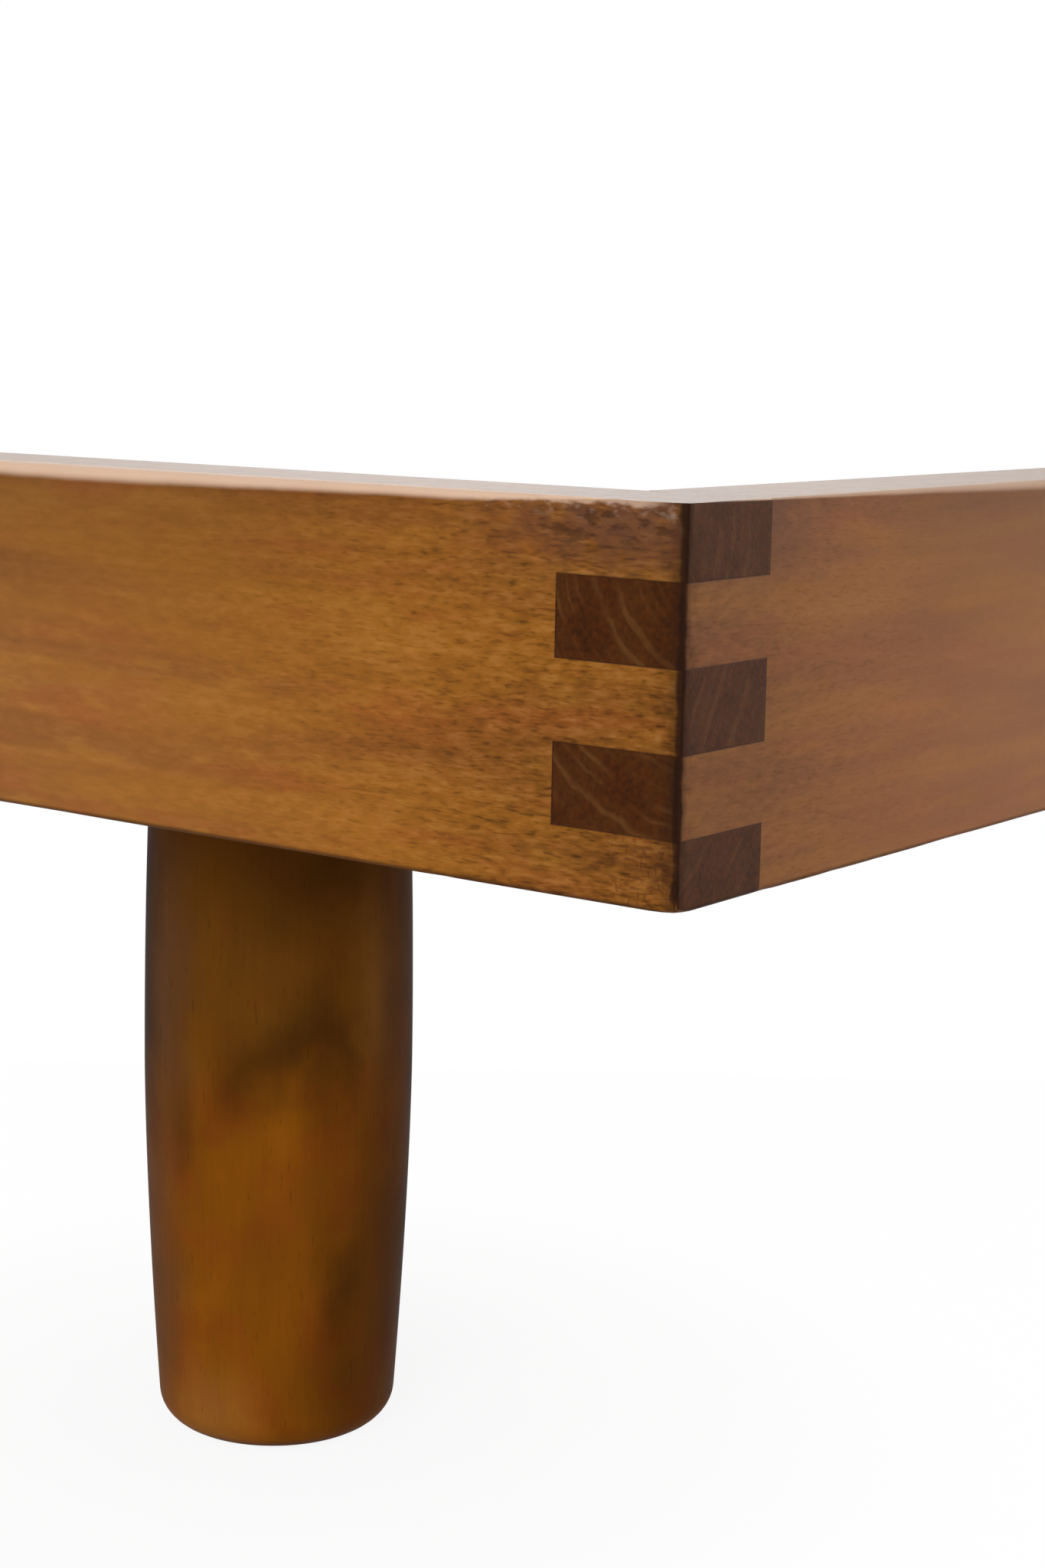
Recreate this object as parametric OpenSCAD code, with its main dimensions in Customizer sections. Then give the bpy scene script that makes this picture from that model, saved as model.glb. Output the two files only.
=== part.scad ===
// Low wooden bed frame: two side rails and two end rails with finger-jointed corners,
// four turned legs tenoned into cross bearers, ledgers along the side rails and plank slats.
// Millimetres, +X across the width, +Y along the length towards the head, +Z up.
// The origin is on the floor under the middle of the bed.

/* [Mattress space] */
// Width between the side rails
well_w = 900; // [800:10:1000]
// Length between the end rails
well_l = 1900; // [1800:10:2100]

/* [Rails] */
// Height of a rail board
rail_h = 105; // [95:1:140]
// Thickness of a rail board
rail_t = 40; // [34:1:50]
// Floor to the underside of the rails
rail_lift = 214; // [170:1:260]
// Height of the bottom finger of a corner joint
low_finger_h = 19; // [16:0.5:24]
// Height of the top finger of a corner joint
top_finger_h = 20; // [16:0.5:24]
// Glue line between two fingers
finger_gap = 0.1; // [0.05:0.05:0.2]
// Flat eased on the lower and upright outer edges of the rails, and round the well
rail_ease = 1.5; // [0.5:0.5:3]
// Radius of the upper outer edges of the rails
top_round = 3; // [1:0.5:5]

/* [Legs] */
// Largest diameter of a leg
leg_d = 88; // [80:1:96]
// Height of the largest diameter above the floor
leg_swell_z = 124; // [90:1:150]
// How much thinner a leg is at the shoulder under the bearer
leg_top_draw = 4; // [0.5:0.5:10]
// How much thinner the taper has become at the floor
leg_foot_draw = 11; // [6:0.5:18]
// How late the taper below the swell draws in
leg_taper_power = 1.6; // [1.2:0.1:2]
// Radius turned on the foot
leg_foot_round = 10; // [4:1:14]
// Gap between a leg's largest diameter and the inner face of the side rail
leg_rail_gap = 0.5; // [0.3:0.1:6]
// Leg axis to the outer face of the end rail
leg_from_end = 210; // [160:1:400]
// Diameter of the round tenon on a leg
tenon_d = 40; // [30:1:50]
// Gap all round a tenon, a wedge or a stub tenon
tenon_gap = 0.1; // [0.05:0.05:0.2]

/* [Wedges] */
// Thickness of a wedge at its top
wedge_t = 4; // [3:0.5:6]
// Thickness of a wedge at its tip
wedge_tip_t = 1; // [0.5:0.5:2]
// Height of a wedge
wedge_h = 25; // [15:1:26]

/* [Bearers] */
// Width of a cross bearer
bearer_w = 86; // [80:1:110]
// Thickness of a cross bearer
bearer_t = 35; // [30:1:40]
// Underside of the rails to the underside of a bearer
bearer_up = 10; // [0:1:15]
// Length of a bearer's stub tenon
stub_l = 20; // [10:1:25]
// Width of a stub tenon
stub_w = 66; // [40:1:70]
// Thickness of a stub tenon
stub_t = 15; // [10:1:20]
// Flat eased on the lower edges of bearers and ledgers
under_ease = 2; // [1:0.5:4]

/* [Ledgers] */
// Width of a ledger strip
ledger_w = 25; // [20:1:35]
// Height of a ledger strip
ledger_h = 30; // [25:1:34]
// Gap between a ledger's end and what it meets
ledger_end_gap = 0.5; // [0.2:0.1:0.8]

/* [Slats] */
// Number of slats
slat_count = 12; // [9:1:15]
// Width of a slat
slat_w = 100; // [70:1:110]
// Thickness of a slat
slat_t = 18; // [15:1:22]
// Gap between a slat's end and the side rail
slat_end_gap = 1; // [0.5:0.5:4]
// Flat eased on the long edges of a slat
slat_ease = 1.5; // [0.5:0.5:3]

/* [Screws] */
// Shank diameter of every screw
screw_d = 4; // [3:0.5:5]
// Head diameter of every screw
head_d = 8; // [7:0.5:9]
// Length of a slat screw
slat_screw_l = 30; // [24:1:36]
// Distance between the two screws at a slat's end
slat_screw_spread = 30; // [24:1:56]
// Length of a ledger screw
ledger_screw_l = 45; // [36:1:50]
// Height of the ledger screws above a ledger's underside
ledger_screw_z = 10; // [8:1:12]
// Largest distance between two ledger screws
ledger_screw_pitch = 300; // [200:10:400]
// End of a ledger to its first screw
ledger_screw_margin = 25; // [20:1:40]
// Gap all round a screw
screw_gap = 0.1; // [0.05:0.05:0.2]
// Length of a screw's point
screw_point = 6; // [4:1:8]
// Width of the slot in a screw's head
slot_w = 1; // [0.6:0.1:1.4]
// Depth of the slot in a screw's head
slot_depth = 1; // [0.6:0.1:1.4]

/* [Hidden] */
// Sides, ends and ledger stretches, which also name the nodes
LEFT = -1;
RIGHT = 1;
SIDES = [LEFT, RIGHT];
FOOT = -1;
MIDDLE = 0;
HEAD = 1;
ENDS = [FOOT, HEAD];
STRETCHES = [FOOT, MIDDLE, HEAD];

function side_name(side) = side == LEFT ? "left" : "right";
function stretch_name(stretch) = stretch == FOOT ? "foot" : stretch == MIDDLE ? "middle" : "head";
function rail_node(side) = str("side_rail_", side_name(side));
function end_rail_node(end) = str(stretch_name(end), "_rail");
function leg_node(side, end) = str("leg_", stretch_name(end), "_", side_name(side));
function wedge_node(side, end) = str("wedge_", stretch_name(end), "_", side_name(side));
function bearer_node(end) = str("bearer_", stretch_name(end));
function ledger_node(side, stretch) = str("ledger_", side_name(side), "_", stretch_name(stretch));
function slat_node(i) = str("slat_", i + 1);
function ledger_screws_node(side) = str("ledger_screws_", side_name(side));
function slat_screws_node(side) = str("slat_screws_", side_name(side));

$fn = 96;

// Outside of the frame
bed_w = well_w + 2 * rail_t;
bed_l = well_l + 2 * rail_t;
rail_top = rail_lift + rail_h;

// Fingers of a corner joint: five, counted from the underside
inner_finger_h = (rail_h - low_finger_h - top_finger_h) / 3;
side_fingers = [0, 2, 4];
end_fingers = [1, 3];

// Places of the legs and of what carries them
leg_x = well_w / 2 - leg_rail_gap - leg_d / 2;
leg_y = bed_l / 2 - leg_from_end;
bearer_z = rail_lift + bearer_up;
slat_z = bearer_z + bearer_t;
ledger_z = slat_z - ledger_h;
stub_z = bearer_z + (bearer_t - stub_t) / 2;

// Steps round the upper edge of a rail
edge_steps = 6;

// Steps along a leg's turned outline
swell_steps = 12;
taper_steps = 14;
round_steps = 8;

// Slats are spread so that all gaps between them and at the ends are alike
slat_gap = (well_l - slat_count * slat_w) / (slat_count + 1);
slat_pitch = slat_w + slat_gap;

// Screws along the ledgers
slat_screw_x = well_w / 2 - ledger_w / 2;
head_h = (head_d - screw_d) / 2;
cutter_over = 1;

// Colours
rail_colour = [0.52, 0.29, 0.13];
leg_colour = [0.40, 0.21, 0.08];
bearer_colour = [0.58, 0.40, 0.22];
slat_colour = [0.74, 0.58, 0.38];
wedge_colour = [0.30, 0.16, 0.08];
screw_colour = [0.72, 0.60, 0.35];

// Height of the lower side of finger i above the rails' underside
function finger_low(i) = i == 0 ? 0 : low_finger_h + (i - 1) * inner_finger_h;

// Height of finger i
function finger_high(i) = i == 0 ? low_finger_h : i == 4 ? top_finger_h : inner_finger_h;

// Middle of slat i along the bed, counted from 0 at the foot end
function slat_y(i) = -well_l / 2 + slat_gap + slat_w / 2 + i * slat_pitch;

// Ends of a ledger stretch along the bed
function stretch_ends(stretch) =
    stretch == FOOT ? [-well_l / 2, -leg_y - bearer_w / 2] :
    stretch == MIDDLE ? [-leg_y + bearer_w / 2, leg_y - bearer_w / 2] :
    [leg_y + bearer_w / 2, well_l / 2];

// Screw places along a ledger stretch
function ledger_screw_ys(stretch) =
    let (ends = stretch_ends(stretch))
    let (first = ends[0] + ledger_screw_margin)
    let (run = ends[1] - ledger_screw_margin - first)
    let (steps = max(1, ceil(run / ledger_screw_pitch)))
    [for (k = [0:steps]) first + k * run / steps];

// Screw places of all slats along one ledger line
slat_screw_ys = [
    for (i = [0:slat_count - 1], s = [-1, 1]) slat_y(i) + s * slat_screw_spread / 2
];

// The slat screws that lie over a stretch of wood from low to high
function screws_over(low, high) =
    [for (y = slat_screw_ys) if (y > low - head_d && y < high + head_d) y];

// Radius of a leg at height z: a slow swell below the shoulder, then a taper to the floor
function leg_r(z) =
    z > leg_swell_z ?
        leg_d / 2 - leg_top_draw / 2 * pow((z - leg_swell_z) / (bearer_z - leg_swell_z), 2) :
        leg_d / 2 - leg_foot_draw / 2 * pow((leg_swell_z - z) / leg_swell_z, leg_taper_power);

// Rectangle about the origin with its corners cut by e
function eased(w, h, e) = [
    [-w / 2 + e, -h / 2], [w / 2 - e, -h / 2], [w / 2, -h / 2 + e], [w / 2, h / 2 - e],
    [w / 2 - e, h / 2], [-w / 2 + e, h / 2], [-w / 2, h / 2 - e], [-w / 2, -h / 2 + e]
];

// Outline of a board that stands on z = 0 with only its two lower edges eased
function eased_below(w, h, e) = [
    [-w / 2 + e, 0], [w / 2 - e, 0], [w / 2, e], [w / 2, h], [-w / 2, h], [-w / 2, e]
];

// Outline of the frame from one side: eased below and rounded above
function rounded_above(w, h) = concat(
    [[-w / 2, rail_ease], [-w / 2 + rail_ease, 0], [w / 2 - rail_ease, 0], [w / 2, rail_ease]],
    [for (s = [1, -1], k = [0:edge_steps])
        let (a = 90 * (s == 1 ? k : edge_steps - k) / edge_steps)
        [s * (w / 2 - top_round + top_round * cos(a)), h - top_round + top_round * sin(a)]]
);

// Straight cut along Y that eases the edge through the origin
module edge_cut_y(l, e) {
    rotate([0, 45, 0]) cube([e * sqrt(2), l, e * sqrt(2)], center = true);
}

// The whole frame's outer block with every outer edge eased or rounded
module frame_block() {
    translate([0, 0, rail_lift]) intersection() {
        linear_extrude(rail_h) polygon(eased(bed_w, bed_l, rail_ease));
        rotate([90, 0, 0]) linear_extrude(bed_l, center = true) polygon(rounded_above(bed_w, rail_h));
        rotate([90, 0, 90]) linear_extrude(bed_w, center = true) polygon(rounded_above(bed_l, rail_h));
    }
}

// Countersunk wood screw that hangs down from the origin, with its head's face at z = 0
module wood_screw(l) {
    difference() {
        rotate_extrude() polygon([
            [0, 0], [head_d / 2, 0], [screw_d / 2, -head_h], [screw_d / 2, -l + screw_point], [0, -l]
        ]);
        translate([-head_d, -slot_w / 2, -slot_depth]) cube([2 * head_d, slot_w, 2 * slot_depth]);
    }
}

// Hole for that screw, open above
module screw_hole(l) {
    rotate_extrude() polygon([
        [0, cutter_over], [head_d / 2 + screw_gap, cutter_over], [head_d / 2 + screw_gap, 0],
        [screw_d / 2 + screw_gap, -head_h], [screw_d / 2 + screw_gap, -l - screw_gap], [0, -l - screw_gap]
    ]);
}

// Places its child at each ledger screw of a stretch, pointing from the ledger into the rail
module at_ledger_screws(side, stretch) {
    for (y = ledger_screw_ys(stretch))
        translate([side * (well_w / 2 - ledger_w), y, ledger_z + ledger_screw_z])
            rotate([0, -side * 90, 0]) children();
}

// Side rail on the left, outer face towards -X
module side_rail_shape() {
    difference() {
        intersection() {
            frame_block();
            translate([-bed_w / 2, -bed_l / 2, rail_lift]) cube([rail_t, bed_l, rail_h]);
        }
        for (end = ENDS, i = end_fingers)
            translate([-bed_w / 2 - cutter_over,
                       end == FOOT ? -bed_l / 2 - cutter_over : well_l / 2,
                       rail_lift + finger_low(i)])
                cube([rail_t + 2 * cutter_over, rail_t + cutter_over, finger_high(i)]);
        for (z = [rail_lift, rail_top])
            translate([-well_w / 2, 0, z]) edge_cut_y(well_l, rail_ease);
        for (end = ENDS)
            translate([-well_w / 2 - stub_l - tenon_gap,
                       end * leg_y - stub_w / 2 - tenon_gap,
                       stub_z - tenon_gap])
                cube([stub_l + tenon_gap + cutter_over, stub_w + 2 * tenon_gap, stub_t + 2 * tenon_gap]);
        for (stretch = STRETCHES)
            at_ledger_screws(LEFT, stretch) screw_hole(ledger_screw_l);
    }
}

module side_rail(side) {
    color(rail_colour) mirror([side == RIGHT ? 1 : 0, 0, 0]) side_rail_shape();
}

// End rail at the foot, outer face towards -Y
module end_rail_shape() {
    difference() {
        intersection() {
            frame_block();
            translate([-bed_w / 2, -bed_l / 2, rail_lift]) cube([bed_w, rail_t, rail_h]);
        }
        for (side = SIDES, i = side_fingers)
            translate([side == LEFT ? -bed_w / 2 - cutter_over : well_w / 2,
                       -bed_l / 2 - cutter_over,
                       rail_lift + finger_low(i) - (i == 0 ? cutter_over : finger_gap / 2)])
                cube([rail_t + cutter_over, rail_t + 2 * cutter_over,
                      finger_high(i) + (i == 2 ? finger_gap : cutter_over + finger_gap / 2)]);
        for (z = [rail_lift, rail_top])
            translate([0, -well_l / 2, z]) rotate([0, 0, 90]) edge_cut_y(well_w, rail_ease);
    }
}

module end_rail(end) {
    color(rail_colour) mirror([0, end == HEAD ? 1 : 0, 0]) end_rail_shape();
}

// Turned leg on the floor with its tenon up through the bearer, and the cut for its wedge
module leg(side, end) {
    color(leg_colour) translate([side * leg_x, end * leg_y, 0]) difference() {
        rotate_extrude() polygon(concat(
            [[0, 0]],
            [for (k = [0:round_steps])
                let (a = 90 * k / round_steps)
                let (z = leg_foot_round * (1 - cos(a)))
                [leg_r(z) - leg_foot_round * (1 - sin(a)), z]],
            [for (k = [1:taper_steps])
                let (z = leg_foot_round + (leg_swell_z - leg_foot_round) * k / taper_steps)
                [leg_r(z), z]],
            [for (k = [1:swell_steps])
                let (z = leg_swell_z + (bearer_z - leg_swell_z) * k / swell_steps)
                [leg_r(z), z]],
            [[tenon_d / 2, bearer_z], [tenon_d / 2, slat_z], [0, slat_z]]
        ));
        translate([0, 0, slat_z]) wedge_prism(tenon_gap, tenon_d + 2 * cutter_over);
    }
}

// Tapered prism along Y that hangs from the origin, wider by the gap on each side
module wedge_prism(gap, length) {
    over = gap > 0 ? cutter_over : 0;
    rotate([90, 0, 0]) linear_extrude(length, center = true) polygon([
        [-wedge_tip_t / 2 - gap, -wedge_h - gap], [wedge_tip_t / 2 + gap, -wedge_h - gap],
        [wedge_t / 2 + gap, 0], [wedge_t / 2 + gap, over],
        [-wedge_t / 2 - gap, over], [-wedge_t / 2 - gap, 0]
    ]);
}

module wedge(side, end) {
    color(wedge_colour) translate([side * leg_x, end * leg_y, slat_z]) intersection() {
        wedge_prism(0, tenon_d);
        translate([0, 0, -wedge_h - cutter_over]) cylinder(d = tenon_d, h = wedge_h + 2 * cutter_over);
    }
}

// Cross bearer with a stub tenon at each end and a bore for each leg's tenon
module bearer(end) {
    color(bearer_colour) difference() {
        union() {
            translate([0, end * leg_y, bearer_z])
                rotate([90, 0, 90]) linear_extrude(well_w, center = true)
                    polygon(eased_below(bearer_w, bearer_t, under_ease));
            translate([-well_w / 2 - stub_l, end * leg_y - stub_w / 2, stub_z])
                cube([well_w + 2 * stub_l, stub_w, stub_t]);
        }
        for (side = SIDES)
            translate([side * leg_x, end * leg_y, bearer_z - cutter_over])
                cylinder(r = tenon_d / 2 + tenon_gap, h = bearer_t + 2 * cutter_over);
        for (side = SIDES, y = screws_over(end * leg_y - bearer_w / 2, end * leg_y + bearer_w / 2))
            translate([side * slat_screw_x, y, slat_z + slat_t]) screw_hole(slat_screw_l);
    }
}

// Ledger strip along the inner face of a side rail
module ledger(side, stretch) {
    ends = stretch_ends(stretch);
    low = ends[0] + ledger_end_gap;
    high = ends[1] - ledger_end_gap;
    color(bearer_colour) difference() {
        translate([side * slat_screw_x, high, ledger_z])
            rotate([90, 0, 0]) linear_extrude(high - low)
                polygon(eased_below(ledger_w, ledger_h, under_ease));
        at_ledger_screws(side, stretch) screw_hole(ledger_screw_l);
        for (y = screws_over(low, high))
            translate([side * slat_screw_x, y, slat_z + slat_t]) screw_hole(slat_screw_l);
    }
}

// Plank slat, counted from 0 at the foot end
module slat(i) {
    color(slat_colour) difference() {
        translate([0, slat_y(i), slat_z + slat_t / 2])
            rotate([90, 0, 90]) linear_extrude(well_w - 2 * slat_end_gap, center = true)
                polygon(eased(slat_w, slat_t, slat_ease));
        for (side = SIDES, s = [-1, 1])
            translate([side * slat_screw_x, slat_y(i) + s * slat_screw_spread / 2, slat_z + slat_t])
                screw_hole(slat_screw_l);
    }
}

module ledger_screws(side) {
    color(screw_colour) for (stretch = STRETCHES)
        at_ledger_screws(side, stretch) wood_screw(ledger_screw_l);
}

module slat_screws(side) {
    color(screw_colour) for (y = slat_screw_ys)
        translate([side * slat_screw_x, y, slat_z + slat_t]) wood_screw(slat_screw_l);
}

for (side = SIDES) side_rail(side);
for (end = ENDS) end_rail(end);
for (side = SIDES, end = ENDS) leg(side, end);
for (side = SIDES, end = ENDS) wedge(side, end);
for (end = ENDS) bearer(end);
for (side = SIDES, stretch = STRETCHES)
    ledger(side, stretch);
for (i = [0:slat_count - 1]) slat(i);
for (side = SIDES) ledger_screws(side);
for (side = SIDES) slat_screws(side);
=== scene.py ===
"""Looks of a low wooden bed frame: finger-jointed rails, turned legs, plank slats and brass screws.

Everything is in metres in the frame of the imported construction: +X across the width, +Y along the
length from the foot end to the head end, +Z up, with the floor at 0. Rails and legs are new meshes
with rounded and worn edges. Slats, ledgers, bearers, wedges and screws keep their own shapes and get
their woods and metal here.
"""

import functools
import logging
import math
from dataclasses import dataclass
from enum import Enum
from typing import Iterable, Sequence, Union

import bmesh
import bpy
from mathutils import Matrix, Vector, noise


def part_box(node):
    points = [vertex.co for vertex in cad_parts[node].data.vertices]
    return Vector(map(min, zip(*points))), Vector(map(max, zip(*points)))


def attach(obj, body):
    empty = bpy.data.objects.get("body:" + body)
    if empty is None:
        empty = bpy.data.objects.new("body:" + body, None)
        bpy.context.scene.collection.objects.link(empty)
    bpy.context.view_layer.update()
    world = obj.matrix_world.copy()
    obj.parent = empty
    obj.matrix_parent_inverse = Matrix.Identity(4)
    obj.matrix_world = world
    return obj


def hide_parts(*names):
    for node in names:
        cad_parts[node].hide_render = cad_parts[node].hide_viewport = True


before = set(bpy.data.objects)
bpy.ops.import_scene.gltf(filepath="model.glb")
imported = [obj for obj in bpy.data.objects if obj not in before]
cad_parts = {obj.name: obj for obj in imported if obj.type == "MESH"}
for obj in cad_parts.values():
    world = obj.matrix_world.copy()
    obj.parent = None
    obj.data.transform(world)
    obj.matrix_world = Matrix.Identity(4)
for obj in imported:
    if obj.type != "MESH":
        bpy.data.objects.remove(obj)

LOG = logging.getLogger("bed")
MM = 0.001
TINY = 1e-5
GOLDEN_ANGLE = 137.5
WHITE = (1.0, 1.0, 1.0, 1.0)

Colour = tuple[float, float, float]
Point = tuple[float, float, float]


class Axis(Enum):
    """Direction in which a board's grain runs, as the index of that coordinate."""

    ACROSS = 0
    ALONG = 1
    UP = 2

    def vector(self) -> Vector:
        """The direction, one metre long."""
        return Vector([float(k == self.value) for k in range(3)])


class Side(Enum):
    """Left and right of the bed, as the sign of X."""

    LEFT = -1
    RIGHT = 1


class End(Enum):
    """Foot and head end of the bed, as the sign of Y."""

    FOOT = -1
    HEAD = 1


class Field:
    """A number or colour that varies over a surface: a shader node's output that can be reckoned with."""

    def __init__(self, graph: "Graph", socket: bpy.types.NodeSocket) -> None:
        """Keeps the output and the graph that further nodes go into."""
        self.graph = graph
        self.socket = socket

    def __add__(self, other: "Feed") -> "Field":
        """This plus another number."""
        return self.graph.math("ADD", self, other)

    def __sub__(self, other: "Feed") -> "Field":
        """This minus another number."""
        return self.graph.math("SUBTRACT", self, other)

    def __rsub__(self, other: "Feed") -> "Field":
        """Another number minus this."""
        return self.graph.math("SUBTRACT", other, self)

    def __mul__(self, other: "Feed") -> "Field":
        """This times another number."""
        return self.graph.math("MULTIPLY", self, other)

    __radd__ = __add__
    __rmul__ = __mul__

    def __abs__(self) -> "Field":
        """This without its sign."""
        return self.graph.math("ABSOLUTE", self)

    def least(self, other: "Feed") -> "Field":
        """The smaller of this and another number."""
        return self.graph.math("MINIMUM", self, other)

    def most(self, other: "Feed") -> "Field":
        """The larger of this and another number."""
        return self.graph.math("MAXIMUM", self, other)

    def rise(self, low: "Feed", high: "Feed", top: float = 1.0) -> "Field":
        """Softly rises from 0 where this is below low to top where it is above high."""
        return self.graph.ease(self, low, high, 0.0, top)

    def fall(self, low: "Feed", high: "Feed", top: float = 1.0) -> "Field":
        """Softly falls from top where this is below low to 0 where it is above high."""
        return self.graph.ease(self, low, high, top, 0.0)


Feed = Union[Field, float, Sequence[float]]
Amount = Union[Field, float]


class Graph:
    """Adds shader nodes to one node tree and wires them up in reading order."""

    def __init__(self, tree: bpy.types.NodeTree) -> None:
        """Starts with an empty tree."""
        tree.nodes.clear()
        self.tree = tree

    def node(self, kind: str, feeds: dict[Union[int, str], Feed], **settings: object) -> bpy.types.Node:
        """Adds one node.

        Args:
            kind: Blender's name for the node.
            feeds: what goes into each input, by its name or number: a field, a number or a colour.
            settings: the node's own settings.

        Returns:
            The new node.
        """
        made = self.tree.nodes.new(kind)
        for name, value in settings.items():
            setattr(made, name, value)
        for key, value in feeds.items():
            if isinstance(value, Field):
                self.tree.links.new(value.socket, made.inputs[key])
            else:
                made.inputs[key].default_value = value
        return made

    def math(self, operation: str, *terms: Feed) -> Field:
        """Result of one sum of one to three terms."""
        made = self.node("ShaderNodeMath", dict(enumerate(terms)), operation=operation)
        return Field(self, made.outputs[0])

    def vector(self, operation: str, *terms: Feed) -> Field:
        """Vector result of one sum with vectors."""
        made = self.node("ShaderNodeVectorMath", dict(enumerate(terms)), operation=operation)
        return Field(self, made.outputs["Vector"])

    def length(self, vector: Field) -> Field:
        """Length of a vector."""
        made = self.node("ShaderNodeVectorMath", {0: vector}, operation="LENGTH")
        return Field(self, made.outputs["Value"])

    def ease(self, value: Feed, low: Feed, high: Feed, start: float, end: float) -> Field:
        """Smooth step from start to end while value goes from low to high.

        Args:
            value: what the step follows.
            low: its value at the beginning of the step.
            high: its value at the end of the step.
            start: result below low.
            end: result above high.

        Returns:
            The result.
        """
        feeds = {"Value": value, "From Min": low, "From Max": high, "To Min": start, "To Max": end}
        made = self.node("ShaderNodeMapRange", feeds, interpolation_type="SMOOTHSTEP")
        return Field(self, made.outputs["Result"])

    def place(self) -> Field:
        """Where a point of the surface is, in the object's own coordinates."""
        return Field(self, self.node("ShaderNodeTexCoord", {}).outputs["Object"])

    def facing(self) -> Field:
        """Which way the surface faces, without smoothing."""
        return Field(self, self.node("ShaderNodeNewGeometry", {}).outputs["True Normal"])

    def split(self, vector: Field) -> tuple[Field, Field, Field]:
        """The three coordinates of a vector."""
        outputs = self.node("ShaderNodeSeparateXYZ", {0: vector}).outputs
        return Field(self, outputs[0]), Field(self, outputs[1]), Field(self, outputs[2])

    def join(self, x: Feed, y: Feed, z: Feed = 0.0) -> Field:
        """The vector with these coordinates."""
        return Field(self, self.node("ShaderNodeCombineXYZ", {0: x, 1: y, 2: z}).outputs[0])

    def noise(self, place: Field, scales: Point, detail: float) -> Field:
        """Soft noise from 0 to 1.

        Args:
            place: where the noise is looked up.
            scales: features per metre along each coordinate of the place.
            detail: how many finer layers are added.

        Returns:
            The noise, about 0.5 in the middle.
        """
        stretched = self.vector("MULTIPLY", place, scales)
        made = self.node("ShaderNodeTexNoise", {"Vector": stretched, "Scale": 1.0, "Detail": detail})
        return Field(self, made.outputs[0])

    def noise_line(self, value: Field, scale: float) -> Field:
        """Soft noise from 0 to 1 along one number, with so many features per unit."""
        feeds = {"W": value * scale, "Scale": 1.0, "Detail": 2.0}
        return Field(self, self.node("ShaderNodeTexNoise", feeds, noise_dimensions="1D").outputs[0])

    def blend(self, share: Feed, first: Feed, second: Feed) -> Field:
        """Mixes two colours: the first where share is 0, the second where it is 1."""
        feeds = {0: share, 6: self.colour(first), 7: self.colour(second)}
        return Field(self, self.node("ShaderNodeMix", feeds, data_type="RGBA").outputs[2])

    def layers(self, base: Feed, *coats: tuple[Feed, Feed]) -> Field:
        """Lays colours over a base one after the other.

        Args:
            base: the colour underneath.
            coats: each colour after its share, which goes from 0 to 1.

        Returns:
            The colour on top.
        """
        for share, colour in coats:
            base = self.blend(share, base, colour)
        return base

    def colour(self, given: Feed) -> Feed:
        """A colour socket's value: a field as it is, and three numbers with an opaque fourth."""
        return given if isinstance(given, Field) else (*given, 1.0)

    def shade(self, colour: Feed, factor: Field) -> Field:
        """A colour made lighter or darker by a factor."""
        made = self.node("ShaderNodeVectorMath", {0: colour, "Scale": factor}, operation="SCALE")
        return Field(self, made.outputs["Vector"])

    def bump(self, height: Field, depth: float, strength: float) -> Field:
        """Surface direction over small hills: where they are 1 high, they measure depth in metres."""
        feeds = {"Height": height, "Distance": depth, "Strength": strength}
        return Field(self, self.node("ShaderNodeBump", feeds).outputs["Normal"])

    def surface(self, feeds: dict[str, Feed]) -> None:
        """Ends a material's tree with its surface, from the sockets of that shader by name."""
        self.finish("ShaderNodeOutputMaterial", self.node("ShaderNodeBsdfPrincipled", feeds))

    def finish(self, kind: str, shader: bpy.types.Node) -> None:
        """Ends the tree with an output node of a kind, fed by a shader's first output."""
        self.tree.links.new(shader.outputs[0], self.tree.nodes.new(kind).inputs["Surface"])


def new_material(name: str) -> tuple[bpy.types.Material, Graph]:
    """Makes an empty node material.

    Args:
        name: the material's name.

    Returns:
        The material and the graph to fill.
    """
    material = bpy.data.materials.new(name)
    material.use_nodes = True
    return material, Graph(material.node_tree)


@dataclass(frozen=True)
class Fade:
    """A soft step between two values, low and high, with a top share beyond one of them."""

    low: float
    high: float
    top: float = 1.0

    def up(self, value: Amount) -> Amount:
        """Softly rises from 0 to the top share.

        Args:
            value: what the step follows, a field or a plain number.

        Returns:
            0 below low, and the top share above high.
        """
        if isinstance(value, Field):
            return value.rise(self.low, self.high, self.top)
        part = min(max((value - self.low) / (self.high - self.low), 0.0), 1.0)
        return self.top * part * part * (3.0 - 2.0 * part)

    def down(self, value: Field) -> Field:
        """Softly falls from the top share below low to 0 above high."""
        return value.fall(self.low, self.high, self.top)


@dataclass(frozen=True)
class BedSizes:
    """Sizes of the bed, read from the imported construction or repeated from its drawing."""

    half_width: float
    half_length: float
    rail_thick: float
    rail_low: float
    rail_top: float
    low_finger: float = 19 * MM
    top_finger: float = 20 * MM
    inner_fingers: int = 3

    @classmethod
    def measured(cls) -> "BedSizes":
        """The sizes that the rails' boxes give."""
        low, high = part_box("side_rail_left")
        return cls(-low.x, high.y, high.x - low.x, low.z, high.z)

    def finger_levels(self) -> list[float]:
        """Heights of the faces between and outside the fingers of a corner.

        Returns:
            Six heights above the floor for the five fingers, from the lowest up.
        """
        first = self.rail_low + self.low_finger
        last = self.rail_top - self.top_finger
        return [self.rail_low, first, *spread(first, last, self.inner_fingers), self.rail_top]


@dataclass(frozen=True)
class Board:
    """One piece of wood: how its grain runs and where the heart of its tree lay.

    The heart is given across the grain from the board's middle, in metres, and the seed shifts
    all patterns along the tree.
    """

    axis: Axis
    middle: Point
    half_length: float
    heart: tuple[float, float]
    seed: float


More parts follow.
